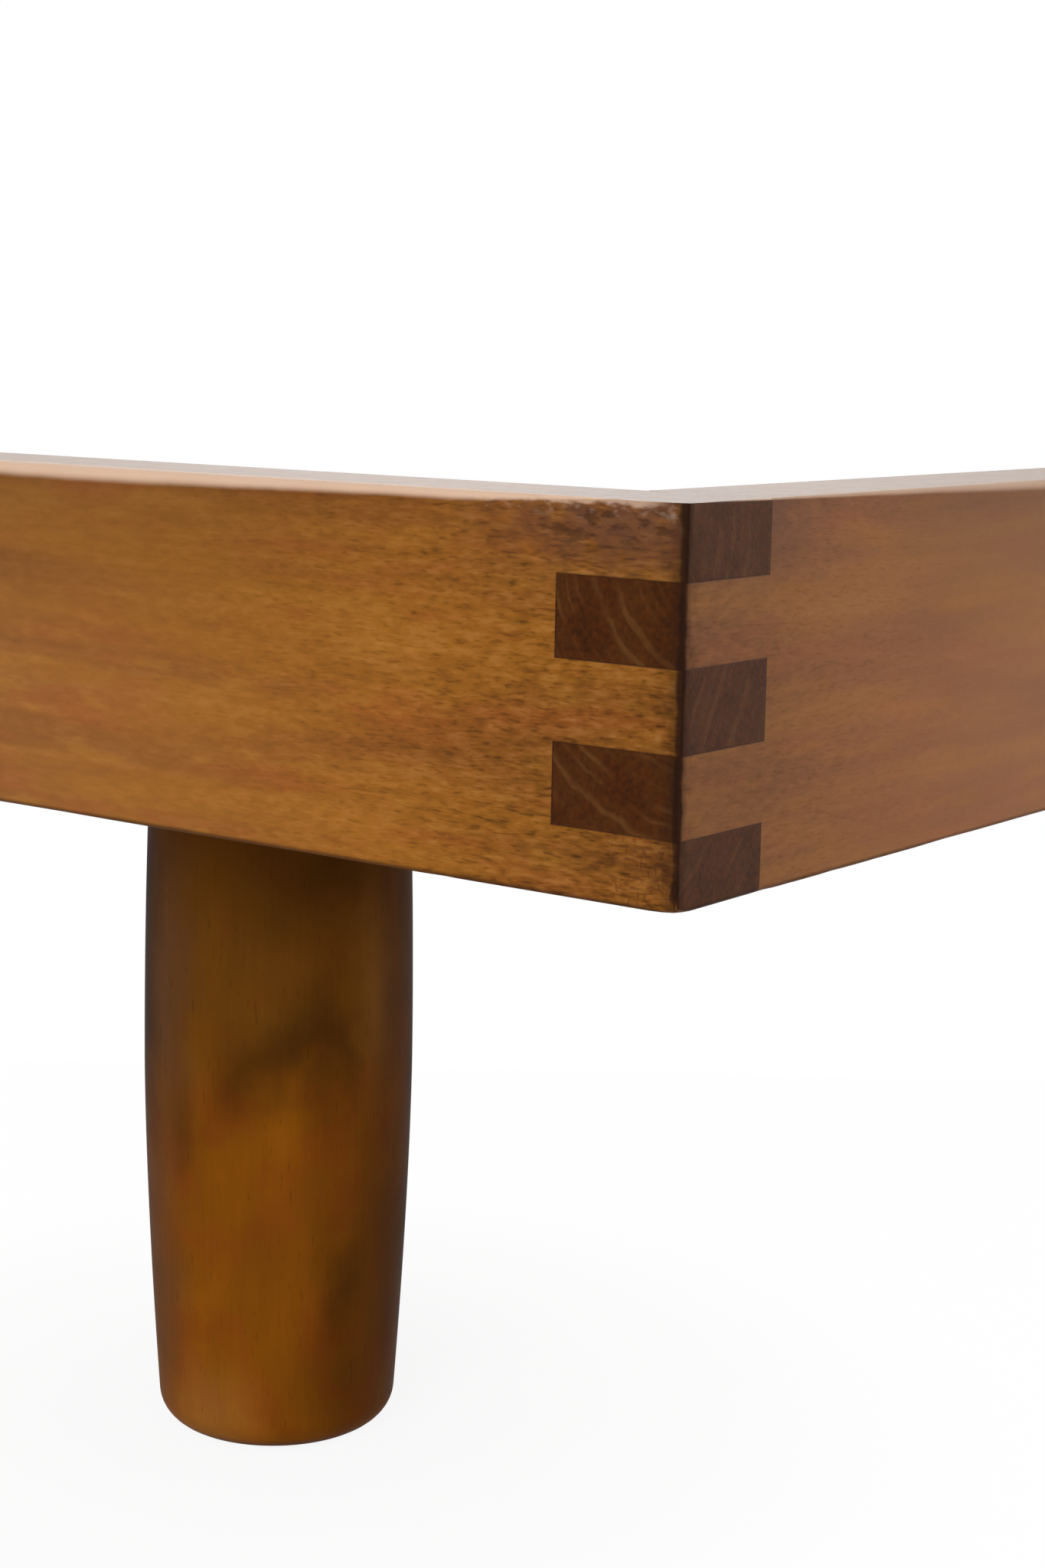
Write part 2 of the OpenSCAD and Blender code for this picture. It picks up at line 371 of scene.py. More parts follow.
class Grain:
    """The pattern of one board's wood, which every wooden finish draws on."""

    SEED_STEP = (3.17, 1.73, 2.39)
    WANDER_SCALES = (2.2, 9.0, 9.0)
    END_FACING = Fade(0.6, 0.8)

    def __init__(self, graph: Graph, board: Board, sway: float) -> None:
        """Lays the board's own coordinates over the surface.

        Args:
            graph: the material's graph.
            board: the board.
            sway: how far the grain wanders sideways, in metres.
        """
        self.graph = graph
        self.board = board
        local = graph.vector("SUBTRACT", graph.place(), board.middle)
        coordinates = list(graph.split(local))
        self.along = coordinates.pop(board.axis.value)
        shift = tuple(board.seed * step for step in self.SEED_STEP)
        straight = graph.join(self.along, *coordinates)
        self.still = graph.vector("ADD", straight, shift)
        drift = (graph.noise(self.still, self.WANDER_SCALES, 1.0) - 0.5) * (2.0 * sway)
        self.across = coordinates[0] + drift
        self.over = coordinates[1] + drift
        self.fibres = graph.vector("ADD", graph.join(self.along, self.across, self.over), shift)
        self.end = self.END_FACING.up(abs(graph.split(graph.facing())[board.axis.value]))
        self.from_end = board.half_length - abs(self.along)

    def ring_distance(self) -> Field:
        """Distance from the heart of the tree, in metres."""
        heart_v, heart_w = self.board.heart
        return self.graph.length(self.graph.join(0.0, self.across - heart_v, self.over - heart_w))


class Pattern:
    """Noise in a board's wood, and the soft step by which it becomes a share of something."""

    fade: Fade

    def noise(self, grain: Grain) -> Field:
        """The noise, from 0 to 1, about 0.5 in the middle."""
        raise NotImplementedError

    def swing(self, grain: Grain, reach: float = 1.0) -> Field:
        """The noise about 0, from minus to plus half a reach."""
        return (self.noise(grain) - 0.5) * reach

    def share(self, grain: Grain, strength: float = 1.0) -> Field:
        """The noise after its soft step, times a strength."""
        return self.noise(grain).rise(self.fade.low, self.fade.high, self.fade.top * strength)


@dataclass(frozen=True)
class Streaks(Pattern):
    """Noise drawn out along the grain, with features of about this length and width in metres."""

    length: float
    width: float
    detail: float = 2.0
    fade: Fade = Fade(0.0, 1.0)

    def noise(self, grain: Grain) -> Field:
        """The noise, which follows the sway of the fibres."""
        scales = (1.0 / self.length, 1.0 / self.width, 1.0 / self.width)
        return grain.graph.noise(grain.fibres, scales, self.detail)


@dataclass(frozen=True)
class Clouds(Pattern):
    """Noise alike in all directions, with features of about this size in metres."""

    size: float
    detail: float = 2.0
    fade: Fade = Fade(0.0, 1.0)

    def noise(self, grain: Grain) -> Field:
        """The noise, which stays where it is whatever the fibres do."""
        return grain.graph.noise(grain.still, (1.0 / self.size,) * 3, self.detail)


@dataclass(frozen=True)
class UpperArris:
    """The rubbed upper edge of the rails: a hair wide at a corner, broader along the rail.

    Its depth is how far it reaches down from the rails' top. It is also the radius of the edge.
    """

    at_corner: float = 0.25 * MM
    side_first: Fade = Fade(15 * MM, 80 * MM, 2.5 * MM)
    side_second: Fade = Fade(80 * MM, 220 * MM, 1.3 * MM)
    end_growth: Fade = Fade(-60 * MM, 330 * MM, 3.7 * MM)

    def on_side(self, distance: Amount) -> Amount:
        """Depth on a side rail at a distance from the bed's end."""
        return self.side_first.up(distance) + self.side_second.up(distance) + self.at_corner

    def on_end(self, distance: Amount) -> Amount:
        """Depth on an end rail at a distance from the bed's side."""
        return self.end_growth.up(distance)


class RailPlace:
    """Where a point of a rail's surface lies, measured from the bed's outer faces and joints."""

    END_LINES = 0.5
    LINE_CORE = 0.3

    def __init__(self, grain: Grain, sizes: BedSizes, arris: UpperArris) -> None:
        """Measures from the bed's outer side and end and from the rails' top and underside.

        Args:
            grain: the rail's grain.
            sizes: the bed's sizes.
            arris: the rails' rubbed upper edge.
        """
        x, y, z = grain.graph.split(grain.graph.place())
        self.grain = grain
        self.sizes = sizes
        self.arris = arris
        self.side = sizes.half_width - abs(x)
        self.end = sizes.half_length - abs(y)
        self.under_top = sizes.rail_top - z
        self.height = z - sizes.rail_low

    def outer(self) -> Field:
        """Distance from the nearer of the bed's outer side and end."""
        return self.side.least(self.end)

    def from_well(self) -> Field:
        """Distance from the rim of the well between the rails."""
        return self.sizes.rail_thick - self.outer()

    def arris_depth(self) -> Field:
        """Depth of the rubbed upper edge beside this place.

        Returns:
            The depth in metres, after the nearer of the bed's side and end.
        """
        on_side = self.arris.on_side(self.end)
        on_end = self.arris.on_end(self.side)
        return on_end + (on_side - on_end) * self.grain.graph.math("LESS_THAN", self.side, self.end)

    def within(self, low: float, high: float) -> Field:
        """1 between two heights above the rails' underside, else 0."""
        return self.grain.graph.math("LESS_THAN", abs(self.height - (low + high) / 2), (high - low) / 2)

    def joint_lines(self, reach: float) -> Field:
        """1 on the lines round the fingers of a corner, else 0.

        The first, third and fifth finger end at the side rail's inner face, the others at the end
        rail's. These upright lines are drawn broader than the level ones.

        Args:
            reach: half the width of a level line, in metres.

        Returns:
            The lines, soft at their edges.
        """
        thick = self.sizes.rail_thick
        levels = [level - self.sizes.rail_low for level in self.sizes.finger_levels()]
        crossing = self.within(*levels[1:3]) + self.within(*levels[3:5])
        to_side = abs(self.side - thick)
        nearest = (to_side + (abs(self.end - thick) - to_side) * crossing) * self.END_LINES
        for level in levels[1:-1]:
            nearest = nearest.least(abs(self.height - level))
        inside = self.side.most(self.end).fall(thick, thick + reach)
        return nearest.fall(self.LINE_CORE * reach, reach) * inside


@dataclass(frozen=True)
class Contrast:
    """How strongly a texture shows away from the rail's ends, and what comes on top nearer to them."""

    away: float
    near: float
    close: float = 0.0

    def light(self, swing: Field, near: Field, close: Field) -> Field:
        """What the texture adds to the light or takes from it.

        Args:
            swing: the texture's noise, about 0.
            near: nearness to the ends, from 0 to 1.
            close: the same for the last stretch.

        Returns:
            The texture at its strength.
        """
        strength = near * self.near
        if self.close:
            strength = strength + close * self.close
        return swing * (strength + self.away)


@dataclass(frozen=True)
class LongGrain:
    """Colour of a rail's faces along the grain: amber wood with brown, red and gold figure.

    It darkens towards the corners and the rails' top, and has a painted sheen away from the corners.
    """

    amber: Colour = (0.326, 0.117, 0.0120)
    brown: Colour = (0.243, 0.081, 0.0115)
    red: Colour = (0.296, 0.086, 0.0135)
    gold: Colour = (0.348, 0.134, 0.0160)
    # Painted sheen: a faint grey reflection added to the faces' colour away from the corners.
    tan: Colour = (0.300, 0.160, 0.0600)
    painted_sheen: Colour = (0.012, 0.016, 0.014)
    figure: float = 1.0
    gilding: float = 0.60
    brown_streaks: Streaks = Streaks(0.20, 0.020, fade=Fade(0.36, 0.64))
    red_streaks: Streaks = Streaks(0.060, 0.012, fade=Fade(0.50, 0.70, 0.75))
    gold_streaks: Streaks = Streaks(0.030, 0.0065, 3.0, Fade(0.52, 0.68))
    flames: Streaks = Streaks(7.0 * MM, 2.2 * MM, fade=Fade(0.54, 0.66, 0.4))
    coarse: Streaks = Streaks(6.0 * MM, 2.0 * MM)
    ribbon: Streaks = Streaks(90 * MM, 3.0 * MM)
    fibre_contrast: Contrast = Contrast(0.08, 0.45)
    coarse_contrast: Contrast = Contrast(0.30, 0.35, 0.85)
    ribbon_contrast: Contrast = Contrast(0.26, 0.22)
    pore_shade: float = 0.30
    dark_gain: float = 1.15
    close: Fade = Fade(0.01, 0.10)
    corner_shade: Fade = Fade(0.02, 0.11, 0.23)
    top_shade: Fade = Fade(0.0, 0.070, 0.30)
    top_shade_from: Fade = Fade(0.04, 0.16)
    painted_sheen_from: Fade = Fade(0.06, 0.30)
    painted_sheen_below: Fade = Fade(0.025, 0.065, 0.5)
    painted_sheen_level: float = 0.5
    lift: float = 1.08

    def colour(self, place: RailPlace, fibre: Field, pores: Field, near: Field) -> Field:
        """Colour of the faces along the grain.

        Args:
            place: the place on the rail.
            fibre: noise of the fine fibres.
            pores: share of pores.
            near: nearness to the rail's ends, from 0 to 1.

        Returns:
            The colour.
        """
        grain = place.grain
        graph = grain.graph
        face = graph.layers(
            self.amber,
            (self.brown_streaks.share(grain), self.brown),
            (self.red_streaks.share(grain), self.red),
            (self.gold_streaks.share(grain, self.gilding), self.gold),
            (self.flames.share(grain, self.gilding) * near, self.red),
        )
        close = self.close.down(grain.from_end)
        light = self.fibre_contrast.light(fibre - 0.5, near, close) - pores * self.pore_shade
        light = light + self.coarse_contrast.light(self.coarse.swing(grain), near, close)
        light = light + self.ribbon_contrast.light(self.ribbon.swing(grain), near, close)
        light = light * self.figure
        dark = graph.shade(face, 1.0 + light.least(0.0) * self.dark_gain)
        tone = graph.vector("ADD", dark, graph.shade(self.tan, light.most(0.0)))
        tone = graph.shade(tone, 1.0 - self.corner_shade.down(grain.from_end))
        upper = self.top_shade.down(place.under_top) * self.top_shade_from.up(grain.from_end)
        # Painted sheen, stronger away from the corners and lower down the faces.
        sheen_share = self.painted_sheen_from.up(grain.from_end) * (self.painted_sheen_below.up(place.under_top) + self.painted_sheen_level)
        return graph.vector("ADD", graph.shade(tone, self.lift - upper), graph.shade(self.painted_sheen, sheen_share))


@dataclass(frozen=True)
class EndGrain:
    """Dark end grain with thin pale arcs of the year rings."""

    deep: Colour = (0.350, 0.082, 0.0030)
    deep_brown: Colour = (0.290, 0.080, 0.0060)
    pale_arc: Colour = (0.165, 0.066, 0.0180)
    arc_share: float = 0.28
    level: float = 0.20
    broad_wander: Clouds = Clouds(10 * MM)
    broad_reach: float = 4.0 * MM
    fine_wander: Clouds = Clouds(2 * MM, 1.0)
    fine_reach: float = 0.6 * MM
    rings_a_metre: float = 320.0
    arcs: Fade = Fade(0.46, 0.76)
    arc_clouds: Clouds = Clouds(12 * MM, 2.0, Fade(0.30, 0.60))
    patches: Clouds = Clouds(12 * MM, 3.0)
    patch_fade: Fade = Fade(0.35, 0.65)
    speckle: Clouds = Clouds(1.4 * MM)
    lowest: float = 0.35
    contrast: float = 1.30

    def colour(self, grain: Grain) -> Field:
        """Colour of the ends of the rail's fingers.

        Args:
            grain: the rail's grain.

        Returns:
            The colour.
        """
        graph = grain.graph
        broad = self.broad_wander.noise(grain) * self.broad_reach
        wander = broad + self.fine_wander.noise(grain) * self.fine_reach
        rings = self.arcs.up(graph.noise_line(grain.ring_distance() + wander, self.rings_a_metre))
        patches = self.patches.noise(grain)
        deep = graph.blend(self.patch_fade.up(patches), self.deep, self.deep_brown)
        tone = self.lowest + patches * self.contrast + self.speckle.swing(grain, self.contrast)
        deep = graph.shade(deep, tone * self.level)
        return graph.blend(rings * self.arc_clouds.share(grain) * self.arc_share, deep, self.pale_arc)


@dataclass(frozen=True)
class DarkWearAndShade:
    """Dark corner joints, small marks, a dark line down the corners, and painted shade along the lower
    edge.
    """

    # Dark colour of the joints, marks and corner line, and of the painted shade along the lower edge.
    stain_and_shade: Colour = (0.016, 0.0045, 0.0014)
    fleck: Colour = (0.085, 0.022, 0.0060)
    seam_reach: float = 0.35 * MM
    seam_share: float = 0.50
    side_slope: float = 1.5
    edge_wander: float = 3.6 * MM
    line: Fade = Fade(0.9 * MM, 3.6 * MM, 0.95)
    halo: Fade = Fade(1.8 * MM, 6.5 * MM, 0.52)
    smear: Fade = Fade(3 * MM, 13 * MM)
    smear_mottle: Fade = Fade(0.44, 0.66, 0.60)
    # A fine dark line along the rails' lower outer edge, partly painted shade.
    below: Fade = Fade(0.5 * MM, 1.9 * MM, 0.75)
    on_long_side: Fade = Fade(1 * MM, 2 * MM)
    level_cracks: Streaks = Streaks(4.0 * MM, 1.0 * MM, 1.0, Fade(0.54, 0.63))
    upright_cracks: Fade = Fade(0.57, 0.66)
    upright_scales: Point = (950.0, 300.0, 300.0)
    cracks_from_end: Fade = Fade(14 * MM, 32 * MM)
    cracks_height: Fade = Fade(14 * MM, 26 * MM, 0.50)
    smudges: Streaks = Streaks(5.0 * MM, 1.8 * MM, 2.0, Fade(0.44, 0.60, 0.52))
    smudges_top: Fade = Fade(1.5 * MM, 4 * MM)
    smudges_low: Fade = Fade(8 * MM, 15 * MM)
    smudges_from_end: Fade = Fade(30 * MM, 60 * MM)

    def edges(self, place: RailPlace, mottle: Field) -> Field:
        """Soft dark line down the corner, a smear on the long side, and a fine line underneath, partly
        painted shade.

        Args:
            place: the place on the rail.
            mottle: noise that makes the line's edge uneven.

        Returns:
            The share of the dark colour.
        """
        edge = place.end + place.side * self.side_slope + (mottle - 0.5) * self.edge_wander
        line = self.line.down(edge).most(self.halo.down(edge))
        smear = self.smear.down(edge) * self.smear_mottle.up(mottle)
        return line.most(smear).most(self.below.down(place.height + place.outer()))

    def crackle(self, place: RailPlace) -> Field:
        """Small dark dashes low down on the long side, close to the corner.

        Args:
            place: the place on the rail.

        Returns:
            The share of flecks.
        """
        grain = place.grain
        upright = self.upright_cracks.up(grain.graph.noise(grain.still, self.upright_scales, 1.0))
        where = self.cracks_from_end.down(place.end) * self.cracks_height.down(place.height)
        return self.level_cracks.share(grain).most(upright) * where * self.on_long_side.down(place.side)

    def smudged(self, place: RailPlace) -> Field:
        """Small dark smudges on the long side a little below its top edge, close to the corner.

        Args:
            place: the place on the rail.

        Returns:
            The share of dark smudges.
        """
        band = self.smudges_top.up(place.under_top) * self.smudges_low.down(place.under_top)
        where = band * self.smudges_from_end.down(place.end) * self.on_long_side.down(place.side)
        return self.smudges.share(place.grain) * where


@dataclass(frozen=True)
class PaleWearAndHighlight:
    """Pale worn, frayed and chipped wood along the rails' top, partly a painted highlight."""

    # Worn wood and a painted highlight along the rounded top edge.
    bare_and_highlight: Colour = (0.750, 0.515, 0.370)
    pale_edge_start: float = 0.58
    pale_edge_stop: float = 1.24
    pale_edge_share: float = 0.95
    unevenness: Streaks = Streaks(30 * MM, 30 * MM, 3.0)
    least_depth: float = 0.85
    uneven_depth: float = 0.30
    well_rim: Fade = Fade(0.8 * MM, 1.9 * MM, 0.6)
    well_clouds: Clouds = Clouds(20 * MM, 2.0, Fade(0.30, 0.55))
    specks: Streaks = Streaks(3.0 * MM, 1.6 * MM, 1.0, Fade(0.54, 0.74, 0.16))
    specks_below: Fade = Fade(2 * MM, 7 * MM)
    specks_from_end: Fade = Fade(30 * MM, 100 * MM)
    ragged: Streaks = Streaks(4.0 * MM, 2.2 * MM, 3.0)
    ragged_reach: float = 4.4 * MM
    frayed: Fade = Fade(0.5 * MM, 2.2 * MM, 0.56)
    frayed_to: Fade = Fade(50 * MM, 90 * MM)
    frayed_from: Fade = Fade(4 * MM, 14 * MM)
    chip_place: tuple[float, float] = (4.6 * MM, 3.4 * MM)
    chip_clouds: Clouds = Clouds(1.6 * MM)
    chip_wander: float = 5 * MM
    chip: Fade = Fade(2.0 * MM, 5.0 * MM, 0.24)
    on_long_side: Fade = Fade(0.3 * MM, 0.9 * MM)
    off_corner: Fade = Fade(2.0 * MM, 3.5 * MM)

    def frayed_edge_and_highlight(self, place: RailPlace) -> Field:
        """Pale frayed edge, specks and a chip at the long side's top near the corner, partly a painted
        highlight.

        Args:
            place: the place on the rail.

        Returns:
            The share of the pale colour.
        """
        grain = place.grain
        band = self.specks_below.down(place.under_top) * self.specks_from_end.down(place.end)
        specks = self.specks.share(grain) * band
        ragged = place.under_top + self.ragged.swing(grain, self.ragged_reach)
        frayed = self.frayed.down(ragged) * self.frayed_to.down(place.end) * self.frayed_from.up(place.end)
        chip_end, chip_top = self.chip_place
        away = grain.graph.length(grain.graph.join(place.end - chip_end, place.under_top - chip_top))
        chip = self.chip.down(away + self.chip_clouds.noise(grain) * self.chip_wander)
        where = self.on_long_side.down(place.side) * self.off_corner.up(place.end)
        return specks.most(chip).most(frayed) * where

    def worn_edge_and_highlight(self, place: RailPlace) -> Field:
        """Share of the pale upper edges, outside and round the well: worn wood with a painted highlight.

        Args:
            place: the place on the rail.

        Returns:
            The share, from 0 to 1.
        """
        grain = place.grain
        unevenness = self.unevenness.noise(grain) * self.uneven_depth + self.least_depth
        depth = place.arris_depth() * unevenness
        reach = place.outer() + place.under_top
        outside = reach.fall(depth * self.pale_edge_start, depth * self.pale_edge_stop, self.pale_edge_share)
        inside = self.well_rim.down(place.from_well() + place.under_top)
        return outside.most(inside * self.well_clouds.share(grain))


@dataclass(frozen=True)
class RailFinish:
    """Satin lacquer on stained, fine-pored hardwood, dark at the corners and pale along the top edge.

    The pale edge is worn wood with a painted highlight. The upper faces are greyer, partly bleached
    lacquer and partly a painted reflection, and keep more of the gloss than the upright ones.
    """

    faces: LongGrain = LongGrain()
    ends: EndGrain = EndGrain()
    stain_and_shade: DarkWearAndShade = DarkWearAndShade()
    wear_and_highlight: PaleWearAndHighlight = PaleWearAndHighlight()
    smoke: Colour = (0.110, 0.045, 0.0300)
    smoke_below: Fade = Fade(4 * MM, 27 * MM)
    smoke_reach: Fade = Fade(20 * MM, 85 * MM)
    smoke_mottle: Fade = Fade(0.25, 0.55, 0.72)
    # Colour of the upper faces: bleached lacquer and a painted reflection.
    bleached_top_and_reflection: Colour = (0.220, 0.130, 0.065)
    bleached_top_and_reflection_share: float = 0.70
    upward: Fade = Fade(0.50, 0.95)
    near: Fade = Fade(0.02, 0.22)
    sway: float = 5 * MM
    mottle: Clouds = Clouds(9 * MM, 3.0)
    fibre: Streaks = Streaks(3.8 * MM, 0.85 * MM)
    flecks: Streaks = Streaks(4.2 * MM, 0.80 * MM, 1.0)
    fleck_clouds: Clouds = Clouds(30 * MM)
    fleck_gain: float = 0.16
    pores: Fade = Fade(0.62, 0.80)
    top_gloss: float = 0.33
    top_roughness: float = 0.20
    top_dulling: Fade = Fade(0.06, 0.30, 0.22)
    rubbed_dulling: float = 0.7
    specular: float = 0.072
    roughness: float = 0.37
    mottle_roughness: float = 0.10
    pore_roughness: float = 0.08
    rubbed_roughness: float = 0.12
    dark_roughness: float = 0.25
    hills: Clouds = Clouds(3 * MM)
    fibre_relief: float = 0.4
    pore_relief: float = 0.6
    hill_relief: float = 0.25
    seam_relief: float = 0.5
    relief_depth: float = 0.20 * MM
    relief_strength: float = 0.30

    def material(self, name: str, board: Board, sizes: BedSizes, arris: UpperArris) -> bpy.types.Material:
        """Makes the finish for one rail.

        Args:
            name: the material's name.
            board: the rail's board.
            sizes: the bed's sizes, for what happens at its corners.
            arris: the rails' rubbed upper edge.

        Returns:
            The material.
        """
        material, graph = new_material(name)
        grain = Grain(graph, board, self.sway)
        place = RailPlace(grain, sizes, arris)
        near = self.near.down(grain.from_end)
        mottle = self.mottle.noise(grain)
        upward = self.upward.up(graph.split(graph.facing())[2])
        fibre = self.fibre.noise(grain)
        flecks = self.flecks.noise(grain) + self.fleck_clouds.noise(grain) * self.fleck_gain
        pores = self.pores.up(flecks) * near
        smoke = self.smoke_below.down(place.under_top) * self.smoke_reach.down(place.side.most(place.end))
        seam = place.joint_lines(self.stain_and_shade.seam_reach)
        dark = self.stain_and_shade.edges(place, mottle)
        worn_edge_and_highlight = self.wear_and_highlight.worn_edge_and_highlight(place)
        colour = graph.layers(
            self.faces.colour(place, fibre, pores, near),
            (smoke * self.smoke_mottle.up(mottle), self.smoke),
            # Painted reflection on the upper faces, with their bleached lacquer.
            (upward * self.bleached_top_and_reflection_share, self.bleached_top_and_reflection),
            (grain.end, self.ends.colour(grain)),
            (seam * self.stain_and_shade.seam_share, self.stain_and_shade.stain_and_shade),
            (self.stain_and_shade.crackle(place), self.stain_and_shade.fleck),
            # Includes a fine line of painted shade along the rails' lower edge.
            (dark.most(self.stain_and_shade.smudged(place)), self.stain_and_shade.stain_and_shade),
            # Worn wood along the top edge, partly a painted highlight.
            (self.wear_and_highlight.frayed_edge_and_highlight(place), self.wear_and_highlight.bare_and_highlight),
            (worn_edge_and_highlight, self.wear_and_highlight.bare_and_highlight),
        )
        gloss = upward * (1.0 - worn_edge_and_highlight * self.rubbed_dulling) * self.top_gloss
        roughness = self.roughness + mottle * self.mottle_roughness + pores * self.pore_roughness
        relief = fibre * self.fibre_relief - pores * self.pore_relief
        relief = relief + self.hills.noise(grain) * self.hill_relief - seam * self.seam_relief
        graph.surface({
            "Base Color": colour,
            "Roughness": roughness + worn_edge_and_highlight * self.rubbed_roughness + dark * self.dark_roughness,
            "Specular IOR Level": self.specular,
            "Coat Weight": gloss * (1.0 - self.top_dulling.up(grain.from_end)),
            "Coat Roughness": self.top_roughness,
            "Normal": graph.bump(relief, self.relief_depth, self.relief_strength),
        })
        return material


@dataclass(frozen=True)
class LegPatch:
    """A soft cloud in the colour of a leg.

    It lies at an angle in degrees round the leg and at a height in metres, and reaches about as far
    to both sides and up and down as wide and tall say.
    """

    angle: float
    height: float
    wide: float
    tall: float
    strength: float
    border: float = 1.5

    def share(self, angle: Field, height: Field) -> Field:
        """The stain's strength in its middle, softly falling to 0.

        Args:
            angle: angle round the leg.
            height: height above the floor.

        Returns:
            The share.
        """
        across = (angle - self.angle) * (1.0 / self.wide)
        up = (height - self.height) * (1.0 / self.tall)
        return angle.graph.length(angle.graph.join(across, up)).fall(0.0, self.border, self.strength)


@dataclass(frozen=True)
class Arch:
    """A dark arch in the colour of a leg, which rises slowly on its left and falls steeply on its right.

    Angles are in degrees round the leg, heights in metres and slopes in metres for a degree.
    """

    peak: float = 20.0
    top: float = 0.140
    left_slope: float = 0.00068
    right_slope: float = 0.00135
    softness: float = 7.0
    left_end: Fade = Fade(-60.0, 0.0)
    right_end: Fade = Fade(34.0, 58.0)
    line: Fade = Fade(0.0, 0.025, 0.60)

    def share(self, angle: Field, height: Field) -> Field:
        """The line's strength on the arch, softly falling to 0 beside it.

        Args:
            angle: angle round the leg.
            height: height above the floor.

        Returns:
            The share.
        """
        across = angle - self.peak
        spread_out = angle.graph.length(angle.graph.join(across, self.softness)) - self.softness
        even = (self.right_slope + self.left_slope) / 2
        uneven = (self.right_slope - self.left_slope) / 2
        away = abs(height + spread_out * even + across * uneven - self.top)
        return self.line.down(away) * self.left_end.up(angle) * self.right_end.down(angle)


